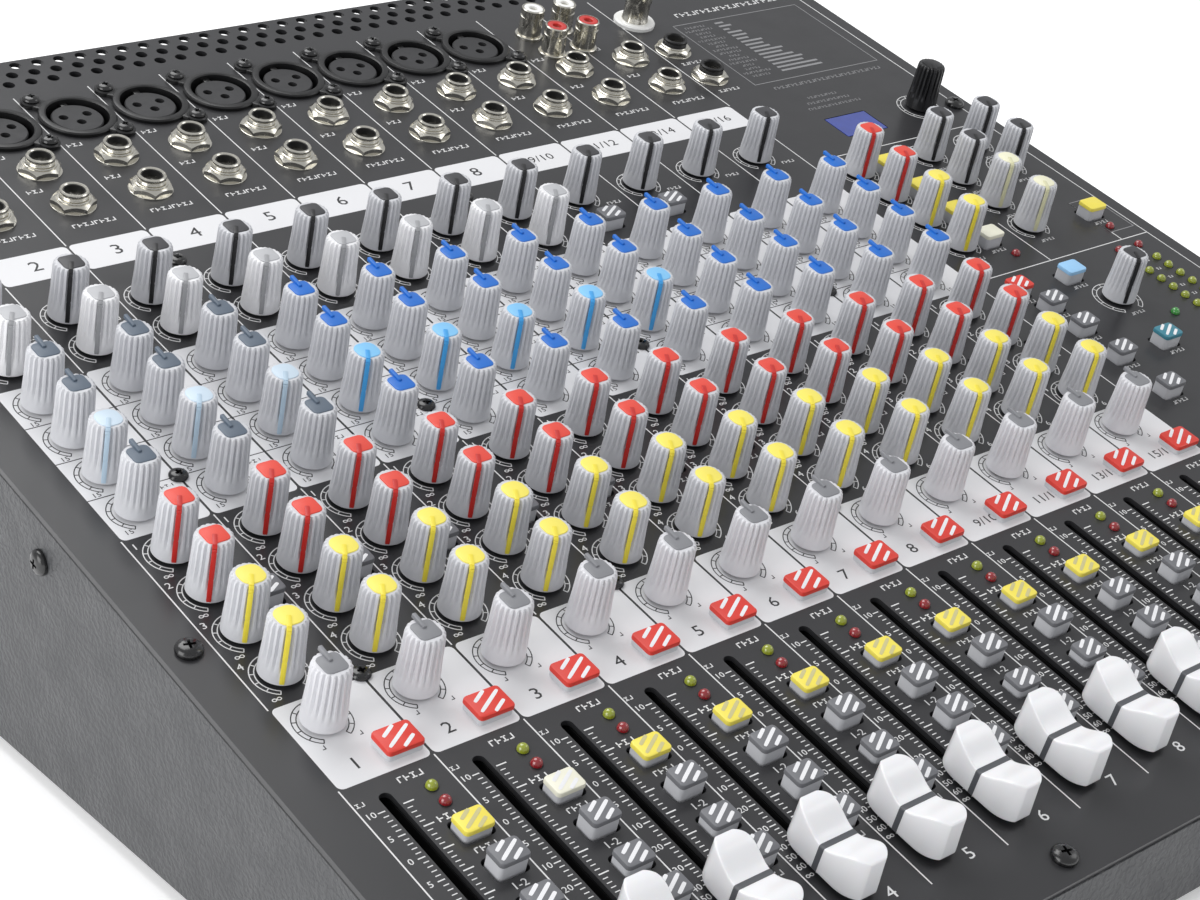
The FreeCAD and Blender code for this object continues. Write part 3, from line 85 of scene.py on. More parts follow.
@dataclass(frozen=True)
class Finish:
    """A surface: its colour, how much that wanders, its gloss, its fine relief and any painted glints on that relief.
    """

    name: str
    colour: str
    roughness: float = 0.42
    roughness_spread: float = 0.07
    mottle: float = 0.05
    mottle_size: float = 0.012
    grain: Grain = Grain.MOULDED
    grain_size: float = 0.0005
    grain_depth: float = 0.000006
    metallic: float = 0.0
    coat: float = 0.0
    specular: float = 0.5
    soft: float = 0.0
    glow: float = 0.0
    # painted highlight: how much lighter the tops of the fine relief are painted
    speck: float = 0.0

    def material(self) -> bpy.types.Material:
        """The finish as a node material, made once.

        Returns:
            The material.
        """
        name = f"{self.name}_finish"
        found = bpy.data.materials.get(name)
        if found:
            return found
        made = bpy.data.materials.new(name)
        made.use_nodes = True
        tree = made.node_tree
        shader = tree.nodes["Principled BSDF"]
        place = tree.nodes.new("ShaderNodeTexCoord").outputs["Object"]
        wander = self._noise(tree, place, self.mottle_size, 4.0)
        tree.links.new(self._colour(tree, place, wander), shader.inputs["Base Color"])
        patches = self._noise(tree, place, self.mottle_size * 0.4, 3.0)
        gloss = tree.nodes.new("ShaderNodeMapRange")
        gloss.inputs["From Min"].default_value = 0.3
        gloss.inputs["From Max"].default_value = 0.7
        gloss.inputs["To Min"].default_value = self.roughness - self.roughness_spread
        gloss.inputs["To Max"].default_value = self.roughness + self.roughness_spread
        tree.links.new(patches, gloss.inputs["Value"])
        tree.links.new(gloss.outputs["Result"], shader.inputs["Roughness"])
        bump = tree.nodes.new("ShaderNodeBump")
        bump.inputs["Distance"].default_value = self.grain_depth
        tree.links.new(self._relief(tree, place), bump.inputs["Height"])
        tree.links.new(bump.outputs["Normal"], shader.inputs["Normal"])
        shader.inputs["Metallic"].default_value = self.metallic
        shader.inputs["Coat Weight"].default_value = self.coat
        shader.inputs["Coat Roughness"].default_value = 0.12
        shader.inputs["Specular IOR Level"].default_value = self.specular
        if self.soft:
            shader.inputs["Subsurface Weight"].default_value = self.soft
            shader.inputs["Subsurface Scale"].default_value = 0.001
        if self.glow:
            shader.inputs["Emission Color"].default_value = linear(self.colour)
            shader.inputs["Emission Strength"].default_value = self.glow
        return made

    @staticmethod
    def _noise(tree: bpy.types.NodeTree, place: bpy.types.NodeSocket, size: float,
               detail: float) -> bpy.types.NodeSocket:
        """A noise of a given size; returns its value."""
        noise = tree.nodes.new("ShaderNodeTexNoise")
        noise.inputs["Scale"].default_value = 1 / size
        noise.inputs["Detail"].default_value = detail
        tree.links.new(place, noise.inputs["Vector"])
        return noise.outputs["Fac"]

    def _colour(self, tree: bpy.types.NodeTree, place: bpy.types.NodeSocket,
                wander: bpy.types.NodeSocket) -> bpy.types.NodeSocket:
        """The wandering colour, with painted glints where the finish has them: lighter flecks on the raised tops of
        the fine relief.

        Args:
            tree: the material's nodes.
            place: the coordinates.
            wander: the noise that the colour follows.

        Returns:
            The colour socket.
        """
        base = linear(self.colour)
        mix = tree.nodes.new("ShaderNodeMix")
        mix.data_type = "RGBA"
        mix.inputs["A"].default_value = (*[part * (1 - 2 * self.mottle) for part in base[:3]], 1.0)
        mix.inputs["B"].default_value = (*[min(1.0, part * (1 + 2 * self.mottle)) for part in base[:3]], 1.0)
        tree.links.new(wander, mix.inputs["Factor"])
        if not self.speck:
            return mix.outputs["Result"]
        # Painted glints: this noise shares the scale and coordinates of the powder relief, so the lighter flecks fall
        # on the pebbles' tops and stand in for highlights.
        fine = self._noise(tree, place, self.grain_size, 2.0)
        ramp = tree.nodes.new("ShaderNodeMapRange")
        ramp.inputs["From Min"].default_value = 0.52
        ramp.inputs["From Max"].default_value = 0.72
        ramp.inputs["To Max"].default_value = self.speck
        tree.links.new(fine, ramp.inputs["Value"])
        glint_mix = tree.nodes.new("ShaderNodeMix")
        glint_mix.data_type = "RGBA"
        glint_mix.inputs["B"].default_value = (*[min(1.0, part * 2.2 + 0.02) for part in base[:3]], 1.0)
        tree.links.new(ramp.outputs["Result"], glint_mix.inputs["Factor"])
        tree.links.new(mix.outputs["Result"], glint_mix.inputs["A"])
        return glint_mix.outputs["Result"]

    def _relief(self, tree: bpy.types.NodeTree, place: bpy.types.NodeSocket) -> bpy.types.NodeSocket:
        """The height of the fine relief.

        Args:
            tree: the material's nodes.
            place: the coordinates.

        Returns:
            The height socket.
        """
        if self.grain is Grain.POWDER:
            pebbles = self._noise(tree, place, self.grain_size, 1.5)
            steep = tree.nodes.new("ShaderNodeMapRange")
            steep.interpolation_type = "SMOOTHSTEP"
            steep.inputs["From Min"].default_value = 0.38
            steep.inputs["From Max"].default_value = 0.62
            tree.links.new(pebbles, steep.inputs["Value"])
            return steep.outputs["Result"]
        if self.grain in (Grain.TURNED, Grain.LAMINATE):
            stretch = tree.nodes.new("ShaderNodeMapping")
            turned_grain = self.grain is Grain.TURNED
            stretch.inputs["Scale"].default_value = (1.0, 1.0, 12.0) if turned_grain else (1.0, 9.0, 1.0)
            tree.links.new(place, stretch.inputs["Vector"])
            return self._noise(tree, stretch.outputs["Vector"], self.grain_size, 3.0)
        return self._noise(tree, place, self.grain_size, 5.0 if self.grain is Grain.PAINT else 2.0)


PANEL_PAINT = Finish(
    "satin_panel_paint", "303032", 0.34, 0.05, 0.03, 0.03, Grain.PAINT, 0.0011, 0.000004, coat=0.08
)
# The powder coat's lighter flecks are painted glints on its pebbles.
POWDER_COAT = Finish("textured_powder_coat", "424345", 0.46, 0.06, 0.02, 0.03, Grain.POWDER, 0.0016, 0.00016,
                     speck=0.12)
KNOB_GREY = Finish("knob_grey", "d0d1d5", 0.34, 0.05, 0.03, coat=0.12)
KNOB_LIGHT = Finish("knob_light_grey", "dcdce0", 0.34, 0.05, 0.03, coat=0.12)
KNOB_WHITE = Finish("knob_white", "ececee", 0.32, 0.05, 0.02, coat=0.12)
KNOB_BLACK = Finish("knob_black", "19191b", 0.36, 0.06, 0.05, coat=0.12)
CAP_CHARCOAL = Finish("cap_charcoal", "3f3f42", 0.45)
CAP_GREY = Finish("cap_light_grey", "b9babd", 0.45)
CAP_PAN = Finish("cap_mid_grey", "86878b", 0.45)
CAP_SLATE = Finish("cap_slate", "5c6876", 0.45)
CAP_BLUE = Finish("cap_blue", "1c6cc8", 0.42)
CAP_SKY = Finish("cap_sky_blue", "82c4f0", 0.42)
CAP_PALE = Finish("cap_pale_blue", "c9dae8", 0.42)
CAP_RED = Finish("cap_red", "e2493a", 0.42)
CAP_YELLOW = Finish("cap_yellow", "f8e766", 0.42)
CAP_CREAM = Finish("cap_cream", "f0eed0", 0.42)
LINE_BLACK = Finish("line_black", "1d1d1f", 0.4)
LINE_GREY = Finish("line_grey", "9a9b9e", 0.4)
LINE_RED = Finish("line_red", "c2261f", 0.4)
LINE_YELLOW = Finish("line_yellow", "efdd45", 0.4)
LINE_SKY = Finish("line_sky_blue", "3f9fe0", 0.4)
LINE_PALE = Finish("line_pale_blue", "b3c9da", 0.4)
LINE_CREAM = Finish("line_cream", "dcdab4", 0.4)
BUTTON_BODY = Finish("button_body", "cdced2", 0.4, coat=0.1)
BUTTON_GREY = Finish("button_grey", "727377", 0.42)
BUTTON_RED = Finish("button_red", "dc3c30", 0.42)
BUTTON_YELLOW = Finish("button_yellow", "f5e45c", 0.42)
BUTTON_CREAM = Finish("button_cream", "f0eedb", 0.42)
BUTTON_BLUE = Finish("button_light_blue", "9ccdf4", 0.42)
BUTTON_TEAL = Finish("button_teal", "3f8496", 0.42)
STRIPE_WHITE = Finish("stripe_white", "ededef", 0.45)
STRIPE_GREY = Finish("stripe_grey", "cdc58c", 0.45)
FADER_WHITE = Finish("fader_white", "f1f1f3", 0.2, 0.04, 0.01, coat=0.35, soft=0.05)
FADER_BAND = Finish("fader_band", "55575b", 0.4)
SOCKET_BLACK = Finish("socket_black", "161617", 0.36, 0.08, 0.06, grain_depth=0.00001)
# Near-black, darker than the black plastic. It is the colour of the dark parts under the panel and of the lamps'
# collars. Along the panel seams it is painted shade. In the jack bores it is partly the dark insulator and partly
# painted shade.
DARK_PARTS_AND_SHADE = Finish("dark_parts_and_painted_shade", "0c0c0d", 0.6)
INSERT_BLACK = Finish("insert_black", "2e2e30", 0.55, 0.08, 0.05, grain_depth=0.000014)
NICKEL = Finish("nickel", "d6d3c9", 0.2, 0.08, 0.06, 0.004, Grain.TURNED, 0.0012, 0.000006, metallic=1.0)
BRASS = Finish("contact_brass", "b79a58", 0.3, metallic=1.0, grain=Grain.TURNED)
SCREW_BLACK = Finish("screw_black", "141415", 0.24, 0.08, 0.05, coat=0.3, specular=0.6)
PLASTIC_WHITE = Finish("ring_white", "f3f3f1", 0.35, coat=0.2)
PLASTIC_RED = Finish("ring_red", "c9302a", 0.35, coat=0.2)
LENS_GREEN = Finish("lens_green", "8f9a1e", 0.1, 0.03, 0.08, 0.002, coat=0.8, specular=0.8, glow=0.05)
LENS_RED = Finish("lens_red", "8e0d18", 0.1, 0.03, 0.08, 0.002, coat=0.8, specular=0.8, glow=0.03)
LENS_BRIGHT_GREEN = Finish("lens_bright_green", "2f8f33", 0.1, 0.03, 0.08, 0.002, coat=0.8, specular=0.8)
DISPLAY_GLASS = Finish("display_glass", "2c3f93", 0.12, 0.03, 0.12, 0.004, grain_depth=0.000001, coat=0.6,
                       glow=0.12)
INK_LIGHT = Finish("light_grey_print", "e2e2e4", 0.42, 0.05, 0.02, 0.03, Grain.PAINT, 0.0011, 0.000003)
INK_WHITE = Finish("white_print", "e4e4e4", 0.45, 0.05, 0.03, 0.01, Grain.PAINT, 0.0009, 0.000002)
INK_BLACK = Finish("black_print", "2a2a2c", 0.45, 0.05, 0.03, 0.01, Grain.PAINT, 0.0009, 0.000002)
INK_GREY = Finish("grey_print", "8c8c8e", 0.45, 0.05, 0.03, 0.01, Grain.PAINT, 0.0009, 0.000002)
FOOT_RUBBER = Finish("foot_rubber", "191919", 0.75, 0.08, 0.08, grain_depth=0.00003)
BOARD_GREEN = Finish("board_laminate", "1d5a35", 0.4, 0.06, 0.1, grain=Grain.LAMINATE, grain_depth=0.00001)
TAPE_YELLOW = Finish("transformer_tape", "b28f2c", 0.35, 0.08, 0.1, grain=Grain.LAMINATE, grain_depth=0.00005)
TRACK_STEEL = Finish("dark_steel", "2b2b2d", 0.5, 0.1, 0.08, grain=Grain.TURNED, metallic=0.6)

PLAIN_FINISHES = {
    "top_panel": PANEL_PAINT,
    "chassis_tub": POWDER_COAT,
    "rear_panel": POWDER_COAT,
    "rubber_feet": FOOT_RUBBER,
    "circuit_boards": BOARD_GREEN,
    "power_transformer": TAPE_YELLOW,
    "mains_inlet": SOCKET_BLACK,
    "power_rocker": KNOB_BLACK,
    "fader_tracks": DARK_PARTS_AND_SHADE,
    "potentiometers": TRACK_STEEL,
    "latching_switches": DARK_PARTS_AND_SHADE,
    "effects_display": DISPLAY_GLASS,
}


# ---------------------------------------------------------------- places


@dataclass(frozen=True)
class Solid:
    """One solid of the frame: its lowest and highest corner as (across, up, out)."""

    low: tuple[float, float, float]
    high: tuple[float, float, float]

    @property
    def across(self) -> float:
        """The middle, across the panel."""
        return (self.low[0] + self.high[0]) / 2

    @property
    def up(self) -> float:
        """The middle, up the slope."""
        return (self.low[1] + self.high[1]) / 2


@dataclass
class Panel:
    """The sloping top panel and the places on it."""

    gauge: float = 0.0015
    origin: Vector = field(init=False)
    across: Vector = field(init=False)
    up: Vector = field(init=False)
    out: Vector = field(init=False)

    def __post_init__(self) -> None:
        """Reads the panel's slope and corner from the frame."""
        turning = next(joint for joint in frame["joints"] if joint["name"] == "gain_turn_1")
        self.out = Vector(turning["axis"]).normalized()
        self.across = Vector((1, 0, 0))
        self.up = self.out.cross(self.across)
        low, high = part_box("top_panel")
        self.origin = Vector((low.x, low.y, low.z + self.gauge * self.out.z))
        self.width = high.x - low.x
        self.length = (high.z - self.origin.z) / self.up.z

    def place(self, across: float, up: float, out: float = 0.0, turn: float = 0.0) -> Matrix:
        """A placement on the panel.

        Args:
            across: distance from the left edge.
            up: distance from the front edge.
            out: distance from the upper face.
            turn: turn about the normal, in degrees.

        Returns:
            The placement.
        """
        axes = Matrix((self.across, self.up, self.out)).transposed().to_4x4()
        point = self.origin + self.across * across + self.up * up + self.out * out
        return Matrix.Translation(point) @ axes @ Matrix.Rotation(math.radians(turn), 4, "Z")

    def solids(self, *nodes: str) -> list[Solid]:
        """The separate solids of some nodes, sorted across and then up.

        Args:
            nodes: names of nodes.

        Returns:
            The solids.
        """
        found = []
        for node in nodes:
            found += self._solids_of(frame["nodes"][node].data)
        return sorted(found, key=lambda solid: (round(solid.across, 4), round(solid.up, 4)))

    def _solids_of(self, mesh: bpy.types.Mesh) -> list[Solid]:
        """The connected solids of one mesh of loose triangles."""
        points = np.empty(len(mesh.vertices) * 3)
        mesh.vertices.foreach_get("co", points)
        points = points.reshape(-1, 3)
        mesh.calc_loop_triangles()
        corners = np.empty(len(mesh.loop_triangles) * 3, int)
        mesh.loop_triangles.foreach_get("vertices", corners)
        _, same = np.unique(np.round(points / TINY).astype(np.int64), axis=0, return_inverse=True)
        triangles = same.ravel()[corners].reshape(-1, 3)
        label = np.arange(same.max() + 1)
        while True:
            lowest = label[triangles].min(axis=1)
            following = label.copy()
            np.minimum.at(following, triangles.ravel(), np.repeat(lowest, 3))
            following = following[following]
            if (following == label).all():
                break
            label = following
        axes = np.array([self.across, self.up, self.out])
        local = (points - np.array(self.origin)) @ axes.T
        owner = label[same.ravel()]
        return [Solid(tuple(local[owner == name].min(axis=0)), tuple(local[owner == name].max(axis=0)))
                for name in np.unique(owner)]


# ---------------------------------------------------------------- modelling


def deselect() -> None:
    """Leaves nothing selected."""
    for chosen in list(bpy.context.selected_objects):
        chosen.select_set(False)


@contextmanager
def editing(piece: bpy.types.Object) -> Iterable[None]:
    """Edit mode on one piece."""
    deselect()
    piece.select_set(True)
    bpy.context.view_layer.objects.active = piece
    bpy.ops.object.mode_set(mode="EDIT")
    yield
    bpy.ops.object.mode_set(mode="OBJECT")


def choose(piece: bpy.types.Object, kind: str, test: Callable[[object], bool]) -> None:
    """Selects, in edit mode, only the faces, edges or points that pass a test.

    Args:
        piece: the object being edited.
        kind: FACE, EDGE or VERT.
        test: says whether an element is chosen.
    """
    bpy.ops.mesh.select_mode(type=kind)
    bpy.ops.mesh.select_all(action="DESELECT")
    mesh = bmesh.from_edit_mesh(piece.data)
    for element in {"FACE": mesh.faces, "EDGE": mesh.edges, "VERT": mesh.verts}[kind]:
        if test(element):
            element.select_set(True)
    bmesh.update_edit_mesh(piece.data)


def slice_at(point: tuple[float, float, float], normal: tuple[float, float, float]) -> None:
    """Cuts the edited piece along a plane and keeps both sides."""
    bpy.ops.mesh.select_all(action="SELECT")
    bpy.ops.mesh.bisect(plane_co=point, plane_no=normal, use_fill=False, clear_inner=False, clear_outer=False)


def resize(factor: float) -> None:
    """Scales the selection about the Z axis."""
    bpy.ops.transform.resize(value=(factor, factor, 1), center_override=(0, 0, 0))


def block(width: float, depth: float, bottom: float, top: float) -> bpy.types.Object:
    """A box about the Z axis."""
    deselect()
    centre, scale = (0, 0, (bottom + top) / 2), (width, depth, top - bottom)
    bpy.ops.mesh.primitive_cube_add(size=1, location=centre, scale=scale)
    bpy.ops.object.transform_apply(location=True, rotation=True, scale=True)
    return bpy.context.object


def rounded_block(width: float, depth: float, bottom: float, top: float, corner: float, edge: float,
                  steps: int = 3) -> bpy.types.Object:
    """A box about the Z axis with rounded upright corners and a rounded upper edge.

    Args:
        width: size across.
        depth: size up the slope.
        bottom: height of the lower face.
        top: height of the upper face.
        corner: radius of the upright corners.
        edge: radius of the upper edge.
        steps: faces in each corner.

    Returns:
        The block.
    """
    piece = block(width, depth, bottom, top)
    with editing(piece):
        choose(piece, "EDGE", lambda found: abs(found.verts[0].co.z - found.verts[1].co.z) > TINY)
        bpy.ops.mesh.bevel(offset=corner, segments=steps, affect="EDGES")
        if edge:
            choose(piece, "EDGE", lambda found: all(point.co.z > top - TINY for point in found.verts))
            bpy.ops.mesh.bevel(offset=edge, segments=2, affect="EDGES")
    return piece


@dataclass(frozen=True)
class Ring:
    """One level of a turned shape; the flute is its groove's share of the radius."""

    height: float
    radius: float
    flute: float = 0.0


def turned(rings: Sequence[Ring], sides: int) -> bpy.types.Object:
    """A closed turned shape on the Z axis, extruded from ring to ring.

    Args:
        rings: the levels, from the closed lower end to the closed upper end.
        sides: corners of each ring.

    Returns:
        The shape.
    """
    deselect()
    bpy.ops.mesh.primitive_circle_add(vertices=sides, radius=rings[0].radius, fill_type="NGON",
                                      location=(0, 0, rings[0].height))
    bpy.ops.object.transform_apply(location=True)
    piece = bpy.context.object
    with editing(piece):
        bpy.ops.mesh.select_mode(type="FACE")
        bpy.ops.mesh.select_all(action="SELECT")
        for last, ring in zip(rings, rings[1:]):
            upwards = (0, 0, ring.height - last.height)
            bpy.ops.mesh.extrude_region_move(TRANSFORM_OT_translate={"value": upwards})
            resize(ring.radius / last.radius)
            if ring.flute != last.flute:
                groove(piece, ring, last, sides)
        bpy.ops.mesh.select_all(action="SELECT")
        bpy.ops.mesh.normals_make_consistent(inside=False)
    return piece


def groove(piece: bpy.types.Object, ring: Ring, last: Ring, sides: int) -> None:
    """Draws in every third point of a ring, then selects the ring's face again."""
    def in_groove(point: bmesh.types.BMVert) -> bool:
        """Whether a point of this level lies in a groove."""
        turn = math.atan2(point.co.y, point.co.x) / math.tau * sides
        return abs(point.co.z - ring.height) < TINY and round(turn) % 3 == 0

    choose(piece, "VERT", in_groove)
    resize((1 - ring.flute) / (1 - last.flute))
    choose(piece, "FACE", lambda face: len(face.verts) == sides
           and abs(face.calc_center_median().z - ring.height) < TINY)


def cut(piece: bpy.types.Object, tool: bpy.types.Object, operation: str = "DIFFERENCE") -> bpy.types.Object:
    """Cuts a piece by another, which is used up."""
    change = piece.modifiers.new("cut", "BOOLEAN")
    change.operation = operation
    change.solver = "EXACT"
    change.object = tool
    apply_modifiers(piece)
    bpy.data.objects.remove(tool)
    return piece


def apply_modifiers(piece: bpy.types.Object) -> None:
    """Applies every modifier of a piece."""
    deselect()
    piece.select_set(True)
    bpy.context.view_layer.objects.active = piece
    for change in list(piece.modifiers):
        bpy.ops.object.modifier_apply(modifier=change.name)


@dataclass(frozen=True)
class Pattern:
    """A modelled shape that is copied.

    It keeps the points, each face's corners, where they start, and which of the finishes each face takes.
    """

    points: np.ndarray
    corners: np.ndarray
    starts: np.ndarray
    kinds: np.ndarray

    @classmethod
    def of(cls, piece: bpy.types.Object) -> "Pattern":
        """Takes the shape of a piece, which is used up."""
        mesh = piece.data
        points = np.empty(len(mesh.vertices) * 3)
        corners = np.empty(len(mesh.loops), int)
        starts = np.empty(len(mesh.polygons), int)
        kinds = np.empty(len(mesh.polygons), int)
        mesh.vertices.foreach_get("co", points)
        mesh.loops.foreach_get("vertex_index", corners)
        mesh.polygons.foreach_get("loop_start", starts)
        mesh.polygons.foreach_get("material_index", kinds)
        bpy.data.objects.remove(piece)
        return cls(points.reshape(-1, 3), corners, starts, kinds)


@dataclass
class Batch:
    """Copies of patterns that become one piece."""

    name: str
    slot: str
    copies: list[tuple[Pattern, Matrix, tuple[Finish, ...]]] = field(default_factory=list)

    def add(self, pattern: Pattern, place: Matrix, *finishes: Finish) -> None:
        """Adds one copy at its place, with a finish for each kind of face."""
        self.copies.append((pattern, place, finishes))

    def bar(self, pattern: Pattern, place: Matrix, start: Vector, end: Vector, width: float, thickness: float,
            finish: Finish) -> None:
        """Adds a unit block as a bar between two points in the local YZ plane.

        Args:
            pattern: a block of unit size about the origin.
            place: the placement that the points are given in.
            start: where the bar starts.
            end: where the bar ends.
            width: size along X.
            thickness: size across the bar.
            finish: its finish.
        """
        along = end - start
        tilt = math.atan2(along.z, along.y)
        turn = Matrix.Rotation(tilt, 4, "X")
        scale = Matrix.Diagonal((width, along.length, thickness, 1))
        self.add(pattern, place @ Matrix.Translation((start + end) / 2) @ turn @ scale, finish)

    def piece(self, body: str, *nodes: str, smooth: float = 38.0) -> bpy.types.Object:
        """Joins the copies into one piece that rides on a body.

        Args:
            body: the body it rides on.
            nodes: the nodes that it stands for.
            smooth: faces that meet under this angle, in degrees, are shaded as one.

        Returns:
            The piece.
        """
        finishes = list(dict.fromkeys(finish for _, _, chosen in self.copies for finish in chosen))
        points, corners, starts, slots = [], [], [], []
        point_count = corner_count = 0
        for pattern, place, chosen in self.copies:
            matrix = np.array(place)
            points.append(pattern.points @ matrix[:3, :3].T + matrix[:3, 3])
            corners.append(pattern.corners + point_count)
            starts.append(pattern.starts + corner_count)
            slots.append(np.array([finishes.index(finish) for finish in chosen])[pattern.kinds])
            point_count += len(pattern.points)
            corner_count += len(pattern.corners)
        mesh = bpy.data.meshes.new(self.name)
        mesh.vertices.add(point_count)
        mesh.vertices.foreach_set("co", np.concatenate(points).ravel())
        mesh.loops.add(corner_count)
        mesh.loops.foreach_set("vertex_index", np.concatenate(corners))
        mesh.polygons.add(sum(len(start) for start in starts))
        mesh.polygons.foreach_set("loop_start", np.concatenate(starts))
        for finish in finishes:
            mesh.materials.append(finish.material())
        mesh.polygons.foreach_set("material_index", np.concatenate(slots))
        mesh.update(calc_edges=True)
        made = bpy.data.objects.new(self.name, mesh)
        bpy.context.scene.collection.objects.link(made)
        deselect()
        made.select_set(True)
        bpy.context.view_layer.objects.active = made
        bpy.ops.object.shade_smooth_by_angle(angle=math.radians(smooth))
        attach(made, body)
        if nodes:
            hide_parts(*nodes)
        LOG.info("%s: %d copies, %d faces, on %s", self.name, len(self.copies), len(mesh.polygons), body)
        return made


# ---------------------------------------------------------------- knobs


@dataclass(frozen=True)
class KnobStyle:
    """The colours of a knob and whether it has a raised pointer or a painted line."""

    body: Finish
    cap: Finish
    line: Finish | None = None
    round_cap: bool = False


class Styles(Enum):
    """The knob styles of the console."""

    GAIN = KnobStyle(KNOB_GREY, CAP_CHARCOAL, LINE_BLACK)
    COMPRESSOR = KnobStyle(KNOB_WHITE, CAP_GREY, LINE_GREY)
    SLATE = KnobStyle(KNOB_GREY, CAP_SLATE)
    BLUE = KnobStyle(KNOB_GREY, CAP_BLUE)
    SKY = KnobStyle(KNOB_GREY, CAP_SKY, LINE_SKY, True)
    PALE = KnobStyle(KNOB_GREY, CAP_PALE, LINE_PALE, True)
    RED = KnobStyle(KNOB_GREY, CAP_RED, LINE_RED)
    YELLOW = KnobStyle(KNOB_GREY, CAP_YELLOW, LINE_YELLOW, True)
    CREAM = KnobStyle(KNOB_GREY, CAP_CREAM, LINE_CREAM, True)
    PAN = KnobStyle(KNOB_LIGHT, CAP_PAN)
    BLACK = KnobStyle(KNOB_BLACK, KNOB_BLACK, LINE_BLACK)


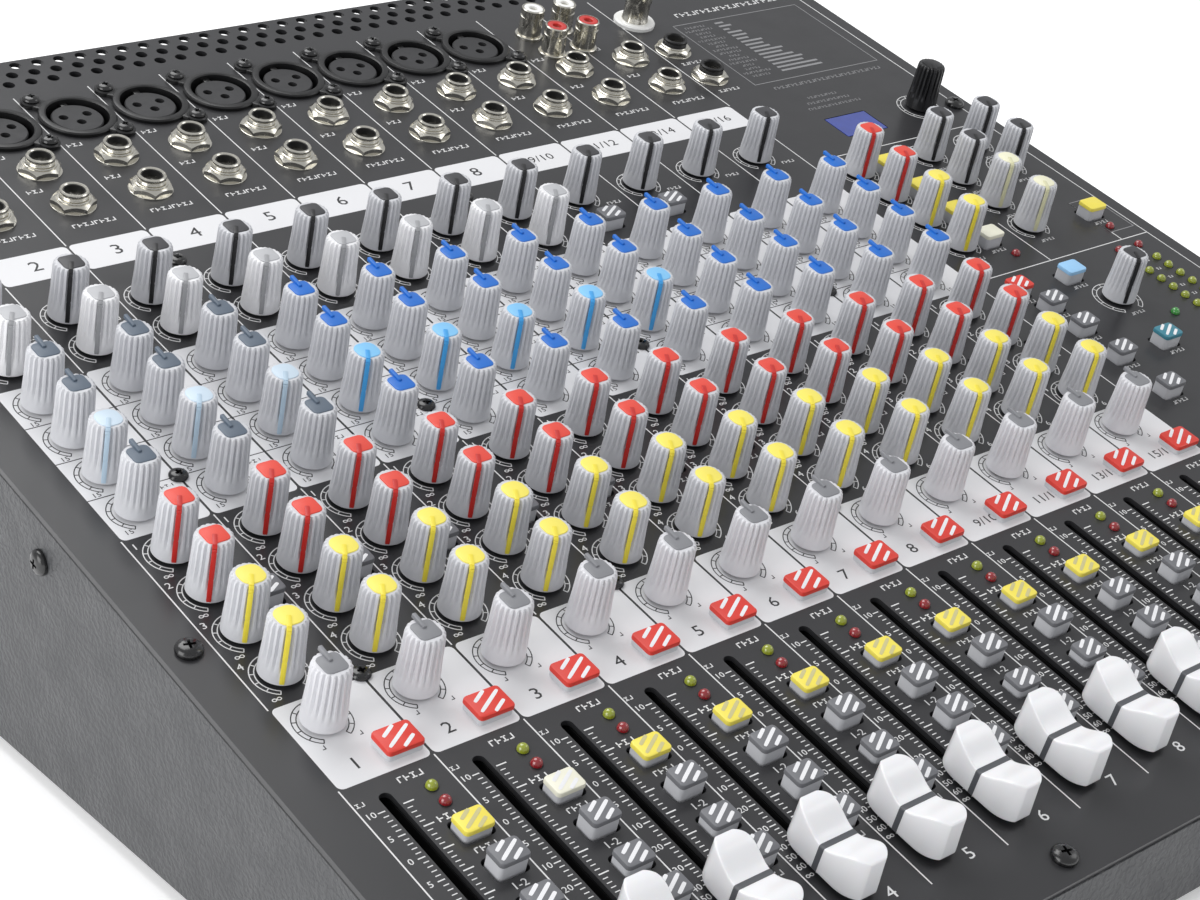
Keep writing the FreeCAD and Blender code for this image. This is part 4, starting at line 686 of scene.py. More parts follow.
@dataclass
class Knobs:
    """All the rotary knobs: fluted bodies with coloured caps, pointers and lines."""

    panel: Panel
    base_radius: float = 0.0055
    top_radius: float = 0.00485
    height: float = 0.0164
    sides: int = 60
    flute: float = 0.14
    cap_width: float = 0.0061
    cap_rise: float = 0.0003
    pointer_width: float = 0.0011
    line_width: float = 0.0012
    least_turn: float = 150.0

    def build(self) -> None:
        """Models the patterns once and makes a piece for each knob node."""
        self._model()
        slate, blue, sky, pale = Styles.SLATE, Styles.BLUE, Styles.SKY, Styles.PALE
        firsts = {
            "pan": Styles.PAN, "aux_4": Styles.YELLOW, "aux_3": Styles.YELLOW, "aux_2": Styles.RED,
            "aux_1": Styles.RED, "low": slate, "frequency": pale, "mid": slate, "high": slate,
            "compressor": Styles.COMPRESSOR, "gain": Styles.GAIN,
        }
        for name, style in firsts.items():
            self._node(f"{name}_knob_1", f"{name}_knob_1", lambda strip, row, style=style: style)
        self._node("monitor_level_knob", "monitor_level_knob", lambda strip, row: Styles.GAIN)
        self._node("gain_knobs", ROOT, lambda strip, row: Styles.GAIN)
        self._node("compressor_knobs", ROOT, lambda strip, row: Styles.COMPRESSOR)
        self._node("pan_knobs", ROOT, lambda strip, row: Styles.PAN)
        self._node("auxiliary_knobs", ROOT, lambda strip, row: Styles.YELLOW if row < 2 else Styles.RED)

        def equaliser(strip: int, row: int) -> Styles:
            """The style on a strip, counted from the second, in a row from the front."""
            if row == 1 and strip < 7:
                return pale if strip < 2 else sky
            return slate if strip < 2 else blue

        self._node("equaliser_knobs", ROOT, equaliser)
        yellow, red, cream, gain = Styles.YELLOW, Styles.RED, Styles.CREAM, Styles.GAIN
        table = {
            0: (yellow, yellow, red, red),
            1: (cream, cream, gain, gain),
            2: (gain, gain),
            3: (Styles.BLACK,),
        }
        columns = self._columns("master_knobs")

        def master(strip: int, row: int) -> Styles:
            """The style in a column of the master section, counted from its own front."""
            return table[strip][self._rows_of("master_knobs", columns[strip]).index(row)]

        self._node("master_knobs", ROOT, master)

    def _columns(self, node: str) -> list[float]:
        """The columns that a node's knobs stand in."""
        return sorted({round(solid.across, 4) for solid in self.panel.solids(node)})

    def _rows_of(self, node: str, column: float) -> list[int]:
        """The places among all the node's rows that one column uses."""
        solids = self.panel.solids(node)
        rows = sorted({round(solid.up, 4) for solid in solids})
        return [rows.index(round(solid.up, 4)) for solid in solids if round(solid.across, 4) == column]

    def _node(self, node: str, body: str, style_of: Callable[[int, int], Styles]) -> None:
        """Makes the piece that stands for one node of knobs.

        Args:
            node: the node's name.
            body: the body it rides on.
            style_of: gives the style from the places of the knob's column and row in the node.
        """
        solids = self.panel.solids(node)
        columns = sorted({round(solid.across, 4) for solid in solids})
        rows = sorted({round(solid.up, 4) for solid in solids})
        batch = Batch(f"{node}_fluted", "knob_grey")
        for solid in solids:
            style = style_of(columns.index(round(solid.across, 4)), rows.index(round(solid.up, 4))).value
            place = self.panel.place(solid.across, solid.up, solid.low[2])
            batch.add(self.shell, place, style.body)
            batch.add(self.round_cap if style.round_cap else self.square_cap, place, style.cap)
            if style.line is None:
                batch.add(self.pointer, place, style.cap)
            else:
                self._line(batch, place, style)
        batch.piece(body, node)

    def _model(self) -> None:
        """Models the body, both caps, the pointer and the bar that lines are made of."""
        base, top, height, flute = self.base_radius, self.top_radius, self.height, self.flute
        self.shell = Pattern.of(turned([
            Ring(0.0, base - 0.25 * MM),
            Ring(0.3 * MM, base),
            Ring(2.0 * MM, base - 0.06 * MM),
            Ring(3.4 * MM, base - 0.13 * MM, flute * 0.15),
            Ring(6.0 * MM, base - 0.3 * MM, flute * 0.8),
            Ring(8.5 * MM, base - 0.45 * MM, flute),
            Ring(height - 1.3 * MM, top, flute),
            Ring(height - 0.5 * MM, top - 0.16 * MM, flute),
            Ring(height - 0.1 * MM, top - 0.5 * MM, flute * 0.8),
            Ring(height, top - 0.85 * MM),
        ], self.sides))
        bottom, rise = height - 0.3 * MM, height + self.cap_rise
        side, corner, edge = self.cap_width, 1.4 * MM, 0.2 * MM
        self.square_cap = Pattern.of(rounded_block(side, side, bottom, rise, corner, edge))
        side = self.cap_width + 0.4 * MM
        self.round_cap = Pattern.of(rounded_block(side, side, bottom, rise, 2.5 * MM, edge, 5))
        fin = block(self.pointer_width, 4.8 * MM, height, height + 1.2 * MM)
        with editing(fin):
            bpy.ops.mesh.select_all(action="SELECT")
            bpy.ops.transform.translate(value=(0, self.top_radius - 2.0 * MM, 0))
            choose(fin, "VERT", lambda point: point.co.z > height + 1.1 * MM and point.co.y < 1.0 * MM)
            bpy.ops.transform.translate(value=(0, 0, -0.35 * MM))
            bpy.ops.mesh.select_all(action="SELECT")
            bpy.ops.mesh.bevel(offset=0.22 * MM, segments=2, affect="EDGES")
        self.pointer = Pattern.of(fin)
        unit = block(1, 1, -0.5, 0.5)
        with editing(unit):
            bpy.ops.mesh.select_all(action="SELECT")
            bpy.ops.mesh.bevel(offset=0.08, segments=1, affect="EDGES")
        self.bar = Pattern.of(unit)

    def _line(self, batch: Batch, place: Matrix, style: KnobStyle) -> None:
        """Adds the line from the cap over the shoulder to the foot, at the least turn."""
        direction = place @ Matrix.Rotation(math.radians(self.least_turn), 4, "Z")
        base, top, height, thick = self.base_radius, self.top_radius, self.height, 0.5 * MM
        path = [
            Vector((0, 0.3 * MM, height + 0.28 * MM)),
            Vector((0, top - 0.7 * MM, height + 0.16 * MM)),
            Vector((0, top - 0.05 * MM, height - 0.55 * MM)),
            Vector((0, top + 0.05 * MM, height - 1.4 * MM)),
            Vector((0, base - 0.34 * MM, 7.0 * MM)),
            Vector((0, base - 0.04 * MM, 0.7 * MM)),
        ]
        for start, end in zip(path, path[1:]):
            batch.bar(self.bar, direction, start, end, self.line_width, thick, style.line)


# ---------------------------------------------------------------- buttons


@dataclass(frozen=True)
class ButtonStyle:
    """A button's cap colour and its stripes, if it has any."""

    cap: Finish
    stripe: Finish | None = None


class ButtonStyles(Enum):
    """The button styles of the console."""

    GREY = ButtonStyle(BUTTON_GREY, STRIPE_WHITE)
    RED = ButtonStyle(BUTTON_RED, STRIPE_WHITE)
    TEAL = ButtonStyle(BUTTON_TEAL, STRIPE_WHITE)
    SOLO = ButtonStyle(BUTTON_YELLOW, STRIPE_GREY)
    PALE_SOLO = ButtonStyle(BUTTON_CREAM, STRIPE_WHITE)
    YELLOW = ButtonStyle(BUTTON_YELLOW)
    CREAM = ButtonStyle(BUTTON_CREAM)
    BLUE = ButtonStyle(BUTTON_BLUE)


@dataclass
class Buttons:
    """All the push buttons: light bodies with striped coloured caps."""

    panel: Panel
    cap_thickness: float = 0.0013
    corner: float = 0.0011
    reach: float = 0.002
    stripe_width: float = 0.00095
    stripe_turn: float = -59.0
    long_stripe: float = 0.7
    short_stripe: float = 0.37
    stripe_gap: float = 0.205

    def build(self) -> None:
        """Makes a piece for each button node."""
        self.patterns: dict[tuple[float, float], tuple[Pattern, Pattern]] = {}
        unit = block(1, 1, -0.5, 0.5)
        with editing(unit):
            choose(unit, "EDGE", lambda found: abs(found.verts[0].co.z - found.verts[1].co.z) > 0.5)
            bpy.ops.mesh.bevel(offset=0.2, segments=2, affect="EDGES")
        self.stripe = Pattern.of(unit)
        grey, red, solo = ButtonStyles.GREY, ButtonStyles.RED, ButtonStyles.SOLO
        for name in ("main", "group_3_4", "group_1_2", "pre_fader"):
            self._node(f"{name}_button_1", f"{name}_button_1", lambda place, solid: grey)
        self._node("solo_button_1", "solo_button_1", lambda place, solid: solo)
        self._node("mute_button_1", "mute_button_1", lambda place, solid: red)
        solids = self.panel.solids("channel_buttons")
        rows = sorted({round(solid.up, 4) for solid in solids})
        second = min(solid.across for solid in solids) + 1 * MM
        solo_row, mute_row = rows[3], rows[4]

        def channel(place: int, solid: Solid) -> ButtonStyles:
            """The style by the button's row; the second strip's solo button is paler."""
            if abs(solid.up - solo_row) < 1 * MM:
                return ButtonStyles.PALE_SOLO if solid.across < second else solo
            return red if abs(solid.up - mute_row) < 1 * MM else grey

        self._node("channel_buttons", ROOT, channel)
        master = (
            red, grey, grey, grey, grey, ButtonStyles.CREAM, ButtonStyles.YELLOW, ButtonStyles.YELLOW,
            ButtonStyles.YELLOW, grey, solo, ButtonStyles.BLUE, ButtonStyles.TEAL, grey, solo,
            ButtonStyles.YELLOW, solo,
        )
        self._node("master_buttons", ROOT, lambda place, solid: master[place])

    def _pattern(self, solid: Solid) -> tuple[Pattern, Pattern]:
        """The body and the cap for a button of this size, modelled once for each size."""
        width = round(solid.high[0] - solid.low[0], 5)
        depth = round(solid.high[1] - solid.low[1], 5)
        if (width, depth) not in self.patterns:
            body = rounded_block(width - 0.3 * MM, depth - 0.3 * MM, -self.reach, 3.5 * MM, self.corner, 0, 3)
            cap = rounded_block(width, depth, 0, self.cap_thickness, self.corner, 0.45 * MM, 4)
            self.patterns[width, depth] = (Pattern.of(body), Pattern.of(cap))
        return self.patterns[width, depth]

    def _node(self, node: str, body: str, style_of: Callable[[int, Solid], ButtonStyles]) -> None:
        """Makes the piece that stands for one node of buttons.

        Args:
            node: the node's name.
            body: the body it rides on.
            style_of: gives the style from the button's place in the sorted node and its solid.
        """
        batch = Batch(f"{node}_capped", "button_grey")
        for number, solid in enumerate(self.panel.solids(node)):
            style = style_of(number, solid).value
            base, cap = self._pattern(solid)
            top = solid.high[2]
            diagonal = math.hypot(solid.high[0] - solid.low[0], solid.high[1] - solid.low[1])
            batch.add(base, self.panel.place(solid.across, solid.up, top - 4.7 * MM), BUTTON_BODY)
            batch.add(cap, self.panel.place(solid.across, solid.up, top - self.cap_thickness), style.cap)
            if not style.stripe:
                continue
            middle = self.panel.place(solid.across, solid.up, top, self.stripe_turn)
            for shift, share in ((-1, self.short_stripe), (0, self.long_stripe), (1, self.short_stripe)):
                size = Matrix.Diagonal((self.stripe_width, share * diagonal, 0.1 * MM, 1))
                side = Matrix.Translation((shift * self.stripe_gap * diagonal, 0, 0))
                batch.add(self.stripe, middle @ side @ size, style.stripe)
        batch.piece(body, node)


# ---------------------------------------------------------------- faders


@dataclass
class Faders:
    """The fader caps: glossy saddles with round ends and a dark band over the middle."""

    panel: Panel
    width: float = 0.0112
    length: float = 0.024
    bottom: float = 0.0014
    top: float = 0.0124
    dish: float = 0.0042
    top_share: float = 0.95
    end_lean: float = 0.03
    end_drop: float = 0.0004
    band_width: float = 0.0015
    levels: tuple[float, ...] = (0.0, 0.2, 0.4, 0.58, 0.74, 0.86, 0.95)

    def build(self) -> None:
        """Models the cap once and makes a piece for each fader."""
        cap = Pattern.of(self._cap())
        tongue = Pattern.of(rounded_block(1.2 * MM, 5.0 * MM, -7.4 * MM, self.bottom + 1 * MM, 0.3 * MM, 0))
        names = [f"channel_fader_cap_{strip}" for strip in range(1, 13)]
        for node in [*names, "group_fader_cap_1_2", "group_fader_cap_3_4", "main_fader_cap"]:
            solid = self.panel.solids(node)[0]
            place = self.panel.place(solid.across, solid.up)
            batch = Batch(f"{node}_moulded", "fader_white")
            batch.add(cap, place, FADER_WHITE, FADER_BAND)
            batch.add(tongue, place, SOCKET_BLACK)
            batch.piece(node, node, smooth=42.0)

    def _cap(self) -> bpy.types.Object:
        """A cage cut into slices, drawn into a saddle with round ends, smoothed, and banded."""
        piece = block(self.width, self.length, self.bottom, self.top)
        half, height = self.length / 2, self.top - self.bottom
        with editing(piece):
            for side in (-1, 1):
                for level in self.levels:
                    slice_at((0, side * level * half, 0), (0, 1, 0))
                slice_at((side * 0.44 * self.width, 0, 0), (1, 0, 0))
            slice_at((0, 0, self.bottom + 0.06 * height), (0, 0, 1))
            slice_at((0, 0, self.top - 0.1 * height), (0, 0, 1))
            bpy.ops.mesh.select_all(action="SELECT")
            bpy.ops.mesh.remove_doubles(threshold=0.01 * MM)
            for share in sorted({side * level for side in (-1, 1) for level in (*self.levels, 1.0)}):
                self._draw(piece, share)
        smooth = piece.modifiers.new("smooth", "SUBSURF")
        smooth.levels = smooth.render_levels = 2
        apply_modifiers(piece)
        low, high = (self._extent(piece, pick) for pick in (min, max))
        with editing(piece):
            bpy.ops.mesh.select_all(action="SELECT")
            bpy.ops.transform.resize(
                value=tuple(
                    want / (end - start)
                    for want, start, end in zip((self.width, self.length, height), low, high)
                ),
                center_override=(0, 0, low[2]))
            bpy.ops.transform.translate(value=(0, 0, self.bottom - low[2]))
            for side in (-1, 1):
                slice_at((0, side * self.band_width / 2, 0), (0, 1, 0))
            choose(piece, "FACE", lambda face: abs(face.calc_center_median().y) < self.band_width / 2
                   and face.calc_center_median().z > self.bottom + 0.2 * MM)
            bpy.ops.mesh.inset(thickness=0.002 * MM, depth=0.09 * MM)
        for face in piece.data.polygons:
            face.material_index = int(abs(face.center.y) < self.band_width / 2 + 0.001 * MM)
        return piece

    def _draw(self, piece: bpy.types.Object, share: float) -> None:
        """Shapes one slice of the cage.

        Args:
            piece: the cage, in edit mode.
            share: the slice's place from the middle, as a share of half the length.
        """
        half, height = self.length / 2, self.top - self.bottom
        away = abs(share)
        taper = math.sqrt(1 - (0.9 * max(0.0, away - 0.5) / 0.5) ** 2)
        dip = self.dish * (0.5 + 0.5 * math.cos(math.pi * min(1.0, away / 0.8)))
        dip += self.end_drop * (max(0.0, away - 0.8) / 0.2) ** 2

        def in_slice(point: bmesh.types.BMVert) -> bool:
            """Whether a point lies in the slice."""
            return abs(point.co.y - share * half) < 0.02 * MM

        choose(piece, "VERT", in_slice)
        bpy.ops.transform.resize(value=(taper, 1, 1), center_override=(0, 0, 0))
        choose(piece, "VERT", lambda point: in_slice(point) and point.co.z > self.top - 0.2 * height)
        bpy.ops.transform.translate(value=(0, 0, -dip))
        value = (self.top_share, 1 - self.end_lean * away, 1)
        bpy.ops.transform.resize(value=value, center_override=(0, 0, 0))

    @staticmethod
    def _extent(piece: bpy.types.Object, pick: Callable[[Iterable[float]], float]) -> tuple[float, ...]:
        """The lowest or highest coordinates of a piece."""
        return tuple(pick(point.co[axis] for point in piece.data.vertices) for axis in range(3))


# ---------------------------------------------------------------- sockets, lamps and screws


@dataclass
class Sockets:
    """Jack, microphone, phono and lamp sockets."""

    panel: Panel
    sides: int = 28
    bush_radius: float = 0.0043
    bore_radius: float = 0.0031
    bush_rise: float = 0.0052
    nut_radius: float = 0.0067
    nut_top: float = 0.0025

    def build(self) -> None:
        """Makes every kind of socket."""
        self._jacks()
        self._microphones()
        self._phonos()
        self._lamp()

    def _jacks(self) -> None:
        """Bushes with a turned thread, nuts with their corners turned off, and washers."""
        bush, bore, rise, nut = self.bush_radius, self.bore_radius, self.bush_rise, self.nut_radius
        thread = []
        for level in range(4):
            height = 2.4 * MM + level * 0.5 * MM
            thread += [Ring(height, bush - 0.18 * MM), Ring(height + 0.25 * MM, bush)]
        rim = [
            Ring(rise - 0.3 * MM, bush), Ring(rise, bush - 0.3 * MM), Ring(rise, bore + 0.45 * MM),
            Ring(rise - 0.3 * MM, bore + 0.15 * MM), Ring(-11 * MM, bore + 0.1 * MM),
        ]
        metal_bush = Pattern.of(turned([Ring(-12 * MM, bush), *thread, *rim], self.sides))
        # The dark floor and lining fill each bore partly with the colour of the jack's dark insulator and partly with
        # painted shade over the nickel bush's inner wall.
        floor = Pattern.of(turned([Ring(-11.2 * MM, bore), Ring(-10.6 * MM, bore - 0.02 * MM)], 12))
        bore_shade_lining = Pattern.of(self._tube(bore + 0.2 * MM, bore - 0.15 * MM, -10.8 * MM, rise - 0.45 * MM))
        washer = Pattern.of(turned([
            Ring(0.0, nut), Ring(0.3 * MM, nut), Ring(0.4 * MM, nut - 0.15 * MM),
        ], self.sides))
        collar = Pattern.of(turned([
            Ring(self.nut_top - 0.2 * MM, bush + 0.8 * MM), Ring(self.nut_top + 0.3 * MM, bush + 0.75 * MM),
            Ring(self.nut_top + 0.5 * MM, bush + 0.45 * MM), Ring(self.nut_top + 0.5 * MM, bush - 0.1 * MM),
        ], self.sides))
        hexagon = self._nut()
        sockets = Batch("jack_sockets_threaded", "nickel")
        nuts = Batch("jack_nuts_turned", "nickel")
        solids = self.panel.solids("jack_sockets")
        last_column = max(solid.across for solid in solids)
        for number, solid in enumerate(solids):
            phones = solid.across > last_column - 1 * MM
            place = self.panel.place(solid.across, solid.up, 0, 17.0 * number)
            sockets.add(metal_bush, place, SOCKET_BLACK if phones else NICKEL)
            sockets.add(bore_shade_lining, place, DARK_PARTS_AND_SHADE)
            sockets.add(floor, place, DARK_PARTS_AND_SHADE)
            nuts.add(washer, place, NICKEL)
            nuts.add(hexagon, place, NICKEL)
            nuts.add(collar, place, NICKEL)
        sockets.piece(ROOT, "jack_sockets")
        nuts.piece(ROOT, "jack_nuts", smooth=30.0)

    def _nut(self) -> Pattern:
        """A hexagon nut whose upper corners are turned off by a cone."""
        deselect()
        bpy.ops.mesh.primitive_cylinder_add(vertices=6, radius=self.nut_radius, depth=self.nut_top - 0.4 * MM,
                                            location=(0, 0, self.nut_top / 2 + 0.2 * MM))
        bpy.ops.object.transform_apply(location=True)
        hexagon = bpy.context.object
        cone = turned([
            Ring(-1 * MM, self.nut_radius + 1 * MM), Ring(self.nut_top * 0.55, self.nut_radius + 0.1 * MM),
            Ring(self.nut_top + 0.5 * MM, self.nut_radius - 1.9 * MM),
        ], self.sides)
        return Pattern.of(cut(hexagon, cone, "INTERSECT"))

    def _tube(self, outer: float, inner: float, bottom: float, top: float) -> bpy.types.Object:
        """An open tube with a wall."""
        tube = turned([Ring(bottom, outer), Ring(top, outer)], self.sides)
        return cut(tube, turned([Ring(bottom - 1 * MM, inner), Ring(top + 1 * MM, inner)], self.sides))

    def _microphones(self) -> None:
        """Round shells with a ring gap, an insert with three contact holes, and two ears."""
        flange, outer, inner, top, deep = 12.0 * MM, 9.6 * MM, 8.0 * MM, 1.6 * MM, -9.0 * MM
        shell = turned([
            Ring(-9.6 * MM, 10.5 * MM), Ring(0.0, 10.5 * MM), Ring(0.01 * MM, flange - 0.1 * MM),
            Ring(top - 0.6 * MM, flange), Ring(top - 0.15 * MM, flange - 0.35 * MM),
            Ring(top, flange - 0.9 * MM),
            Ring(top, outer + 0.5 * MM), Ring(top - 0.3 * MM, outer + 0.05 * MM), Ring(deep, outer),
        ], 48)
        insert = turned([
            Ring(deep - 0.5 * MM, inner),
            Ring(-0.1 * MM, inner),
            Ring(0.25 * MM, inner - 0.35 * MM),
        ], 48)
        contacts = ((-4.0 * MM, 1.4 * MM), (4.0 * MM, 1.4 * MM), (0.0, -2.6 * MM))
        for across, up in contacts:
            hole = turned([Ring(-7 * MM, 1.5 * MM), Ring(2 * MM, 1.5 * MM)], 16)
            hole.location = (across, up, 0)
            cut(insert, hole)
        key = block(2.4 * MM, 2.2 * MM, -8 * MM, 0.1 * MM)
        with editing(key):
            bpy.ops.mesh.select_all(action="SELECT")
            bpy.ops.transform.translate(value=(0, outer - 0.7 * MM, 0))
            bpy.ops.mesh.bevel(offset=0.25 * MM, segments=2, affect="EDGES")
        contact = turned([Ring(-7 * MM, 1.2 * MM), Ring(-3 * MM, 1.2 * MM), Ring(-3 * MM, 0.7 * MM),
                          Ring(-4 * MM, 0.6 * MM)], 12)
        ear = turned([
            Ring(0.0, 3.3 * MM),
            Ring(top - 0.4 * MM, 3.3 * MM),
            Ring(top - 0.02 * MM, 2.9 * MM),
        ], 20)
        patterns = [Pattern.of(piece) for piece in (shell, insert, key, contact, ear)]
        shell_shape, insert_shape, key_shape, contact_shape, ear_shape = patterns
        batch = Batch("xlr_sockets_moulded", "black_plastic")
        arm = Pattern.of(rounded_block(5.5 * MM, 5.6 * MM, 0, top - 0.3 * MM, 1.0 * MM, 0.3 * MM))
        lean = math.degrees(math.atan2(9.5, 12.0))
        for solid in self.panel.solids("xlr_sockets"):
            place = self.panel.place(solid.across, solid.up)
            for side in (-1, 1):
                outward = Matrix.Translation((0, side * 12.8 * MM, 0))
                batch.add(arm, self.panel.place(solid.across, solid.up, 0, lean) @ outward, SOCKET_BLACK)
            batch.add(shell_shape, place, SOCKET_BLACK)
            batch.add(insert_shape, place, INSERT_BLACK)
            batch.add(key_shape, place, SOCKET_BLACK)
            for across, up in contacts:
                batch.add(contact_shape, place @ Matrix.Translation((across, up, 0)), BRASS)
            for side in (-1, 1):
                to_ear = Matrix.Translation((side * 9.5 * MM, -side * 12 * MM, 0))
                batch.add(ear_shape, place @ to_ear, SOCKET_BLACK)
        batch.piece(ROOT, "xlr_sockets", smooth=30.0)

    def _phonos(self) -> None:
        """Barrels with a flange and a coloured insulator in the mouth."""
        radius, rise = 4.1 * MM, 11 * MM
        barrel = Pattern.of(turned([
            Ring(-8 * MM, radius), Ring(0.0, radius), Ring(0.01 * MM, 4.9 * MM), Ring(1.0 * MM, 4.9 * MM),
            Ring(1.2 * MM, 4.7 * MM), Ring(1.25 * MM, radius), Ring(rise - 3.2 * MM, radius),
            Ring(rise - 3.0 * MM, radius - 0.35 * MM), Ring(rise - 2.6 * MM, radius - 0.35 * MM),
            Ring(rise - 2.4 * MM, radius), Ring(rise - 0.3 * MM, radius), Ring(rise, radius - 0.3 * MM),
            Ring(rise, radius - 0.6 * MM), Ring(rise - 1 * MM, radius - 0.7 * MM),
        ], self.sides))
        ring = Pattern.of(turned([
            Ring(rise - 1.2 * MM, radius - 0.72 * MM), Ring(rise - 0.15 * MM, radius - 0.75 * MM),
            Ring(rise, radius - 1.1 * MM), Ring(rise, 1.9 * MM), Ring(rise - 0.2 * MM, 1.6 * MM),
            Ring(rise - 1.1 * MM, 1.5 * MM),
        ], self.sides))
        solids = self.panel.solids("phono_sockets")
        front = min(solid.up for solid in solids)
        batch = Batch("phono_sockets_turned", "nickel")
        for solid in solids:
            place = self.panel.place(solid.across, solid.up)
            batch.add(barrel, place, NICKEL)
            batch.add(ring, place, PLASTIC_RED if solid.up < front + 1 * MM else PLASTIC_WHITE)
        batch.piece(ROOT, "phono_sockets")

    def _lamp(self) -> None:
        """The bayonet barrel on its white ring, with two lugs and a middle contact."""
        radius, rise = 4.9 * MM, 13 * MM
        barrel = Pattern.of(turned([
            Ring(-10 * MM, radius), Ring(2.2 * MM, radius), Ring(2.6 * MM, radius - 0.3 * MM),
            Ring(rise - 4.2 * MM, radius - 0.3 * MM), Ring(rise - 3.8 * MM, radius),
            Ring(rise - 0.3 * MM, radius),
            Ring(rise, radius - 0.3 * MM), Ring(rise, radius - 1.0 * MM),
            Ring(rise - 8 * MM, radius - 1.1 * MM),
        ], self.sides))
        ring = Pattern.of(turned([
            Ring(0.0, 7.6 * MM), Ring(1.1 * MM, 7.6 * MM), Ring(1.6 * MM, 7.1 * MM), Ring(1.7 * MM, 5.2 * MM),
            Ring(1.5 * MM, 4.8 * MM),
        ], self.sides))
        core = Pattern.of(turned([Ring(2 * MM, 2.1 * MM), Ring(rise - 2.4 * MM, 2.1 * MM),
                                  Ring(rise - 2 * MM, 1.7 * MM), Ring(rise - 2.2 * MM, 0.6 * MM)], 16))
        lug = Pattern.of(turned([
            Ring(4.4 * MM, 0.95 * MM),
            Ring(5.9 * MM, 0.95 * MM),
            Ring(6.1 * MM, 0.7 * MM),
        ], 14))
        solid = self.panel.solids("lamp_socket")[0]
        place = self.panel.place(solid.across, solid.up)
        batch = Batch("lamp_socket_turned", "nickel")
        batch.add(barrel, place, NICKEL)
        batch.add(ring, place, PLASTIC_WHITE)
        batch.add(core, place, PLASTIC_WHITE)
        for side in (-1, 1):
            sideways = Matrix.Rotation(math.radians(side * 90), 4, "Y")
            outward = Matrix.Translation((0, 0, rise - 2.2 * MM)) @ sideways
            batch.add(lug, place @ outward, NICKEL)
        batch.piece(ROOT, "lamp_socket")


@dataclass
class Lamps:
    """The round-headed indicator lamps, each on a little flange."""

    panel: Panel
    radius: float = 0.0015

    def build(self) -> None:
        """Makes all the lamps in one piece, coloured by what they show."""
        solids = self.panel.solids("indicator_leds")
        rise = solids[0].high[2]
        rings = [Ring(-5 * MM, self.radius)]
        for step in range(6):
            turn = math.radians(15 * step)
            ring_level = rise - self.radius + self.radius * math.sin(turn)
            rings.append(Ring(ring_level, self.radius * math.cos(turn)))
        lamp = Pattern.of(turned(rings, 16))
        collar = Pattern.of(turned([Ring(-0.2 * MM, 1.75 * MM), Ring(0.05 * MM, 1.75 * MM), Ring(0.1 * MM, 1.5 * MM)],
                                   20))
        fader = self.panel.solids("channel_fader_cap_12")[0]
        strips = [solid for solid in solids if solid.across < fader.across + 15 * MM]
        clip = min(solid.up for solid in strips)
        meter = [solid for solid in solids if solid not in strips]
        columns = sorted({round(solid.across, 4) for solid in meter},
                         key=lambda across: -sum(abs(solid.across - across) < TINY * 100 for solid in meter))[:2]
        batch = Batch("indicator_leds_domed", "led_lens")
        for solid in solids:
            finish = LENS_GREEN
            if solid in strips:
                finish = LENS_RED if solid.up < clip + 1 * MM else LENS_GREEN
            elif round(solid.across, 4) in columns:
                column = sorted((other.up for other in meter if abs(other.across - solid.across) < 1 * MM),
                                reverse=True)
                finish = LENS_RED if column.index(solid.up) < 2 else LENS_GREEN
            else:
                lowest = min(other.up for other in meter if round(other.across, 4) not in columns)
                finish = LENS_BRIGHT_GREEN if solid.up < lowest + 1 * MM else LENS_RED
            place = self.panel.place(solid.across, solid.up)
            batch.add(lamp, place, finish)
            batch.add(collar, place, DARK_PARTS_AND_SHADE)
        batch.piece(ROOT, "indicator_leds", smooth=60.0)


@dataclass
class Screws:
    """The black pan-head screws with their cross recesses."""

    panel: Panel

    def build(self) -> None:
        """Makes the panel's screws and the side walls' screws in one piece."""
        batch = Batch("machine_screws_turned", "black_screw")
        small = self._screw(2.6 * MM, 1.5 * MM, 1.5 * MM)
        large = self._screw(3.5 * MM, 2.2 * MM, 2.0 * MM)
        middle = self.panel.width / 2
        for number, solid in enumerate(self.panel.solids("machine_screws")):
            if solid.high[2] > 0:
                is_large = solid.high[0] - solid.low[0] > 6 * MM
                head = 2.2 * MM if is_large else 1.5 * MM
                place = self.panel.place(solid.across, solid.up, solid.high[2] - head, 25.0 * number)
                batch.add(large if is_large else small, place, SCREW_BLACK)
                continue
            side = 1 if solid.across > middle else -1
            face = self.panel.width if side > 0 else 0.0
            place = self.panel.place(face, solid.up, (solid.low[2] + solid.high[2]) / 2)
            batch.add(large, place @ Matrix.Rotation(math.radians(90 * side), 4, "Y"), SCREW_BLACK)
        batch.piece(ROOT, "machine_screws", smooth=32.0)

    @staticmethod
    def _screw(head: float, height: float, thread: float) -> Pattern:
        """A domed head with a tapered cross recess over a short thread.

        Args:
            head: radius of the head.
            height: height of the head.
            thread: radius of the thread.

        Returns:
            The pattern.
        """
        screw = turned([
            Ring(-4.5 * MM, thread), Ring(0.0, thread),
            Ring(0.01 * MM, head - 0.1 * MM), Ring(height * 0.3, head),
            Ring(height * 0.62, head * 0.92), Ring(height * 0.86, head * 0.74), Ring(height, head * 0.45),
        ], 24)
        for turn in (0, 90):
            blade = block(head * 1.05, 0.85 * MM, height * 0.4, height * 1.3)
            with editing(blade):
                choose(blade, "VERT", lambda point: point.co.z < height * 0.5)
                bpy.ops.transform.resize(value=(0.5, 0.6, 1), center_override=(0, 0, height * 0.4))
            blade.rotation_euler.z = math.radians(turn)
            cut(screw, blade)
        return Pattern.of(screw)


# ---------------------------------------------------------------- prints


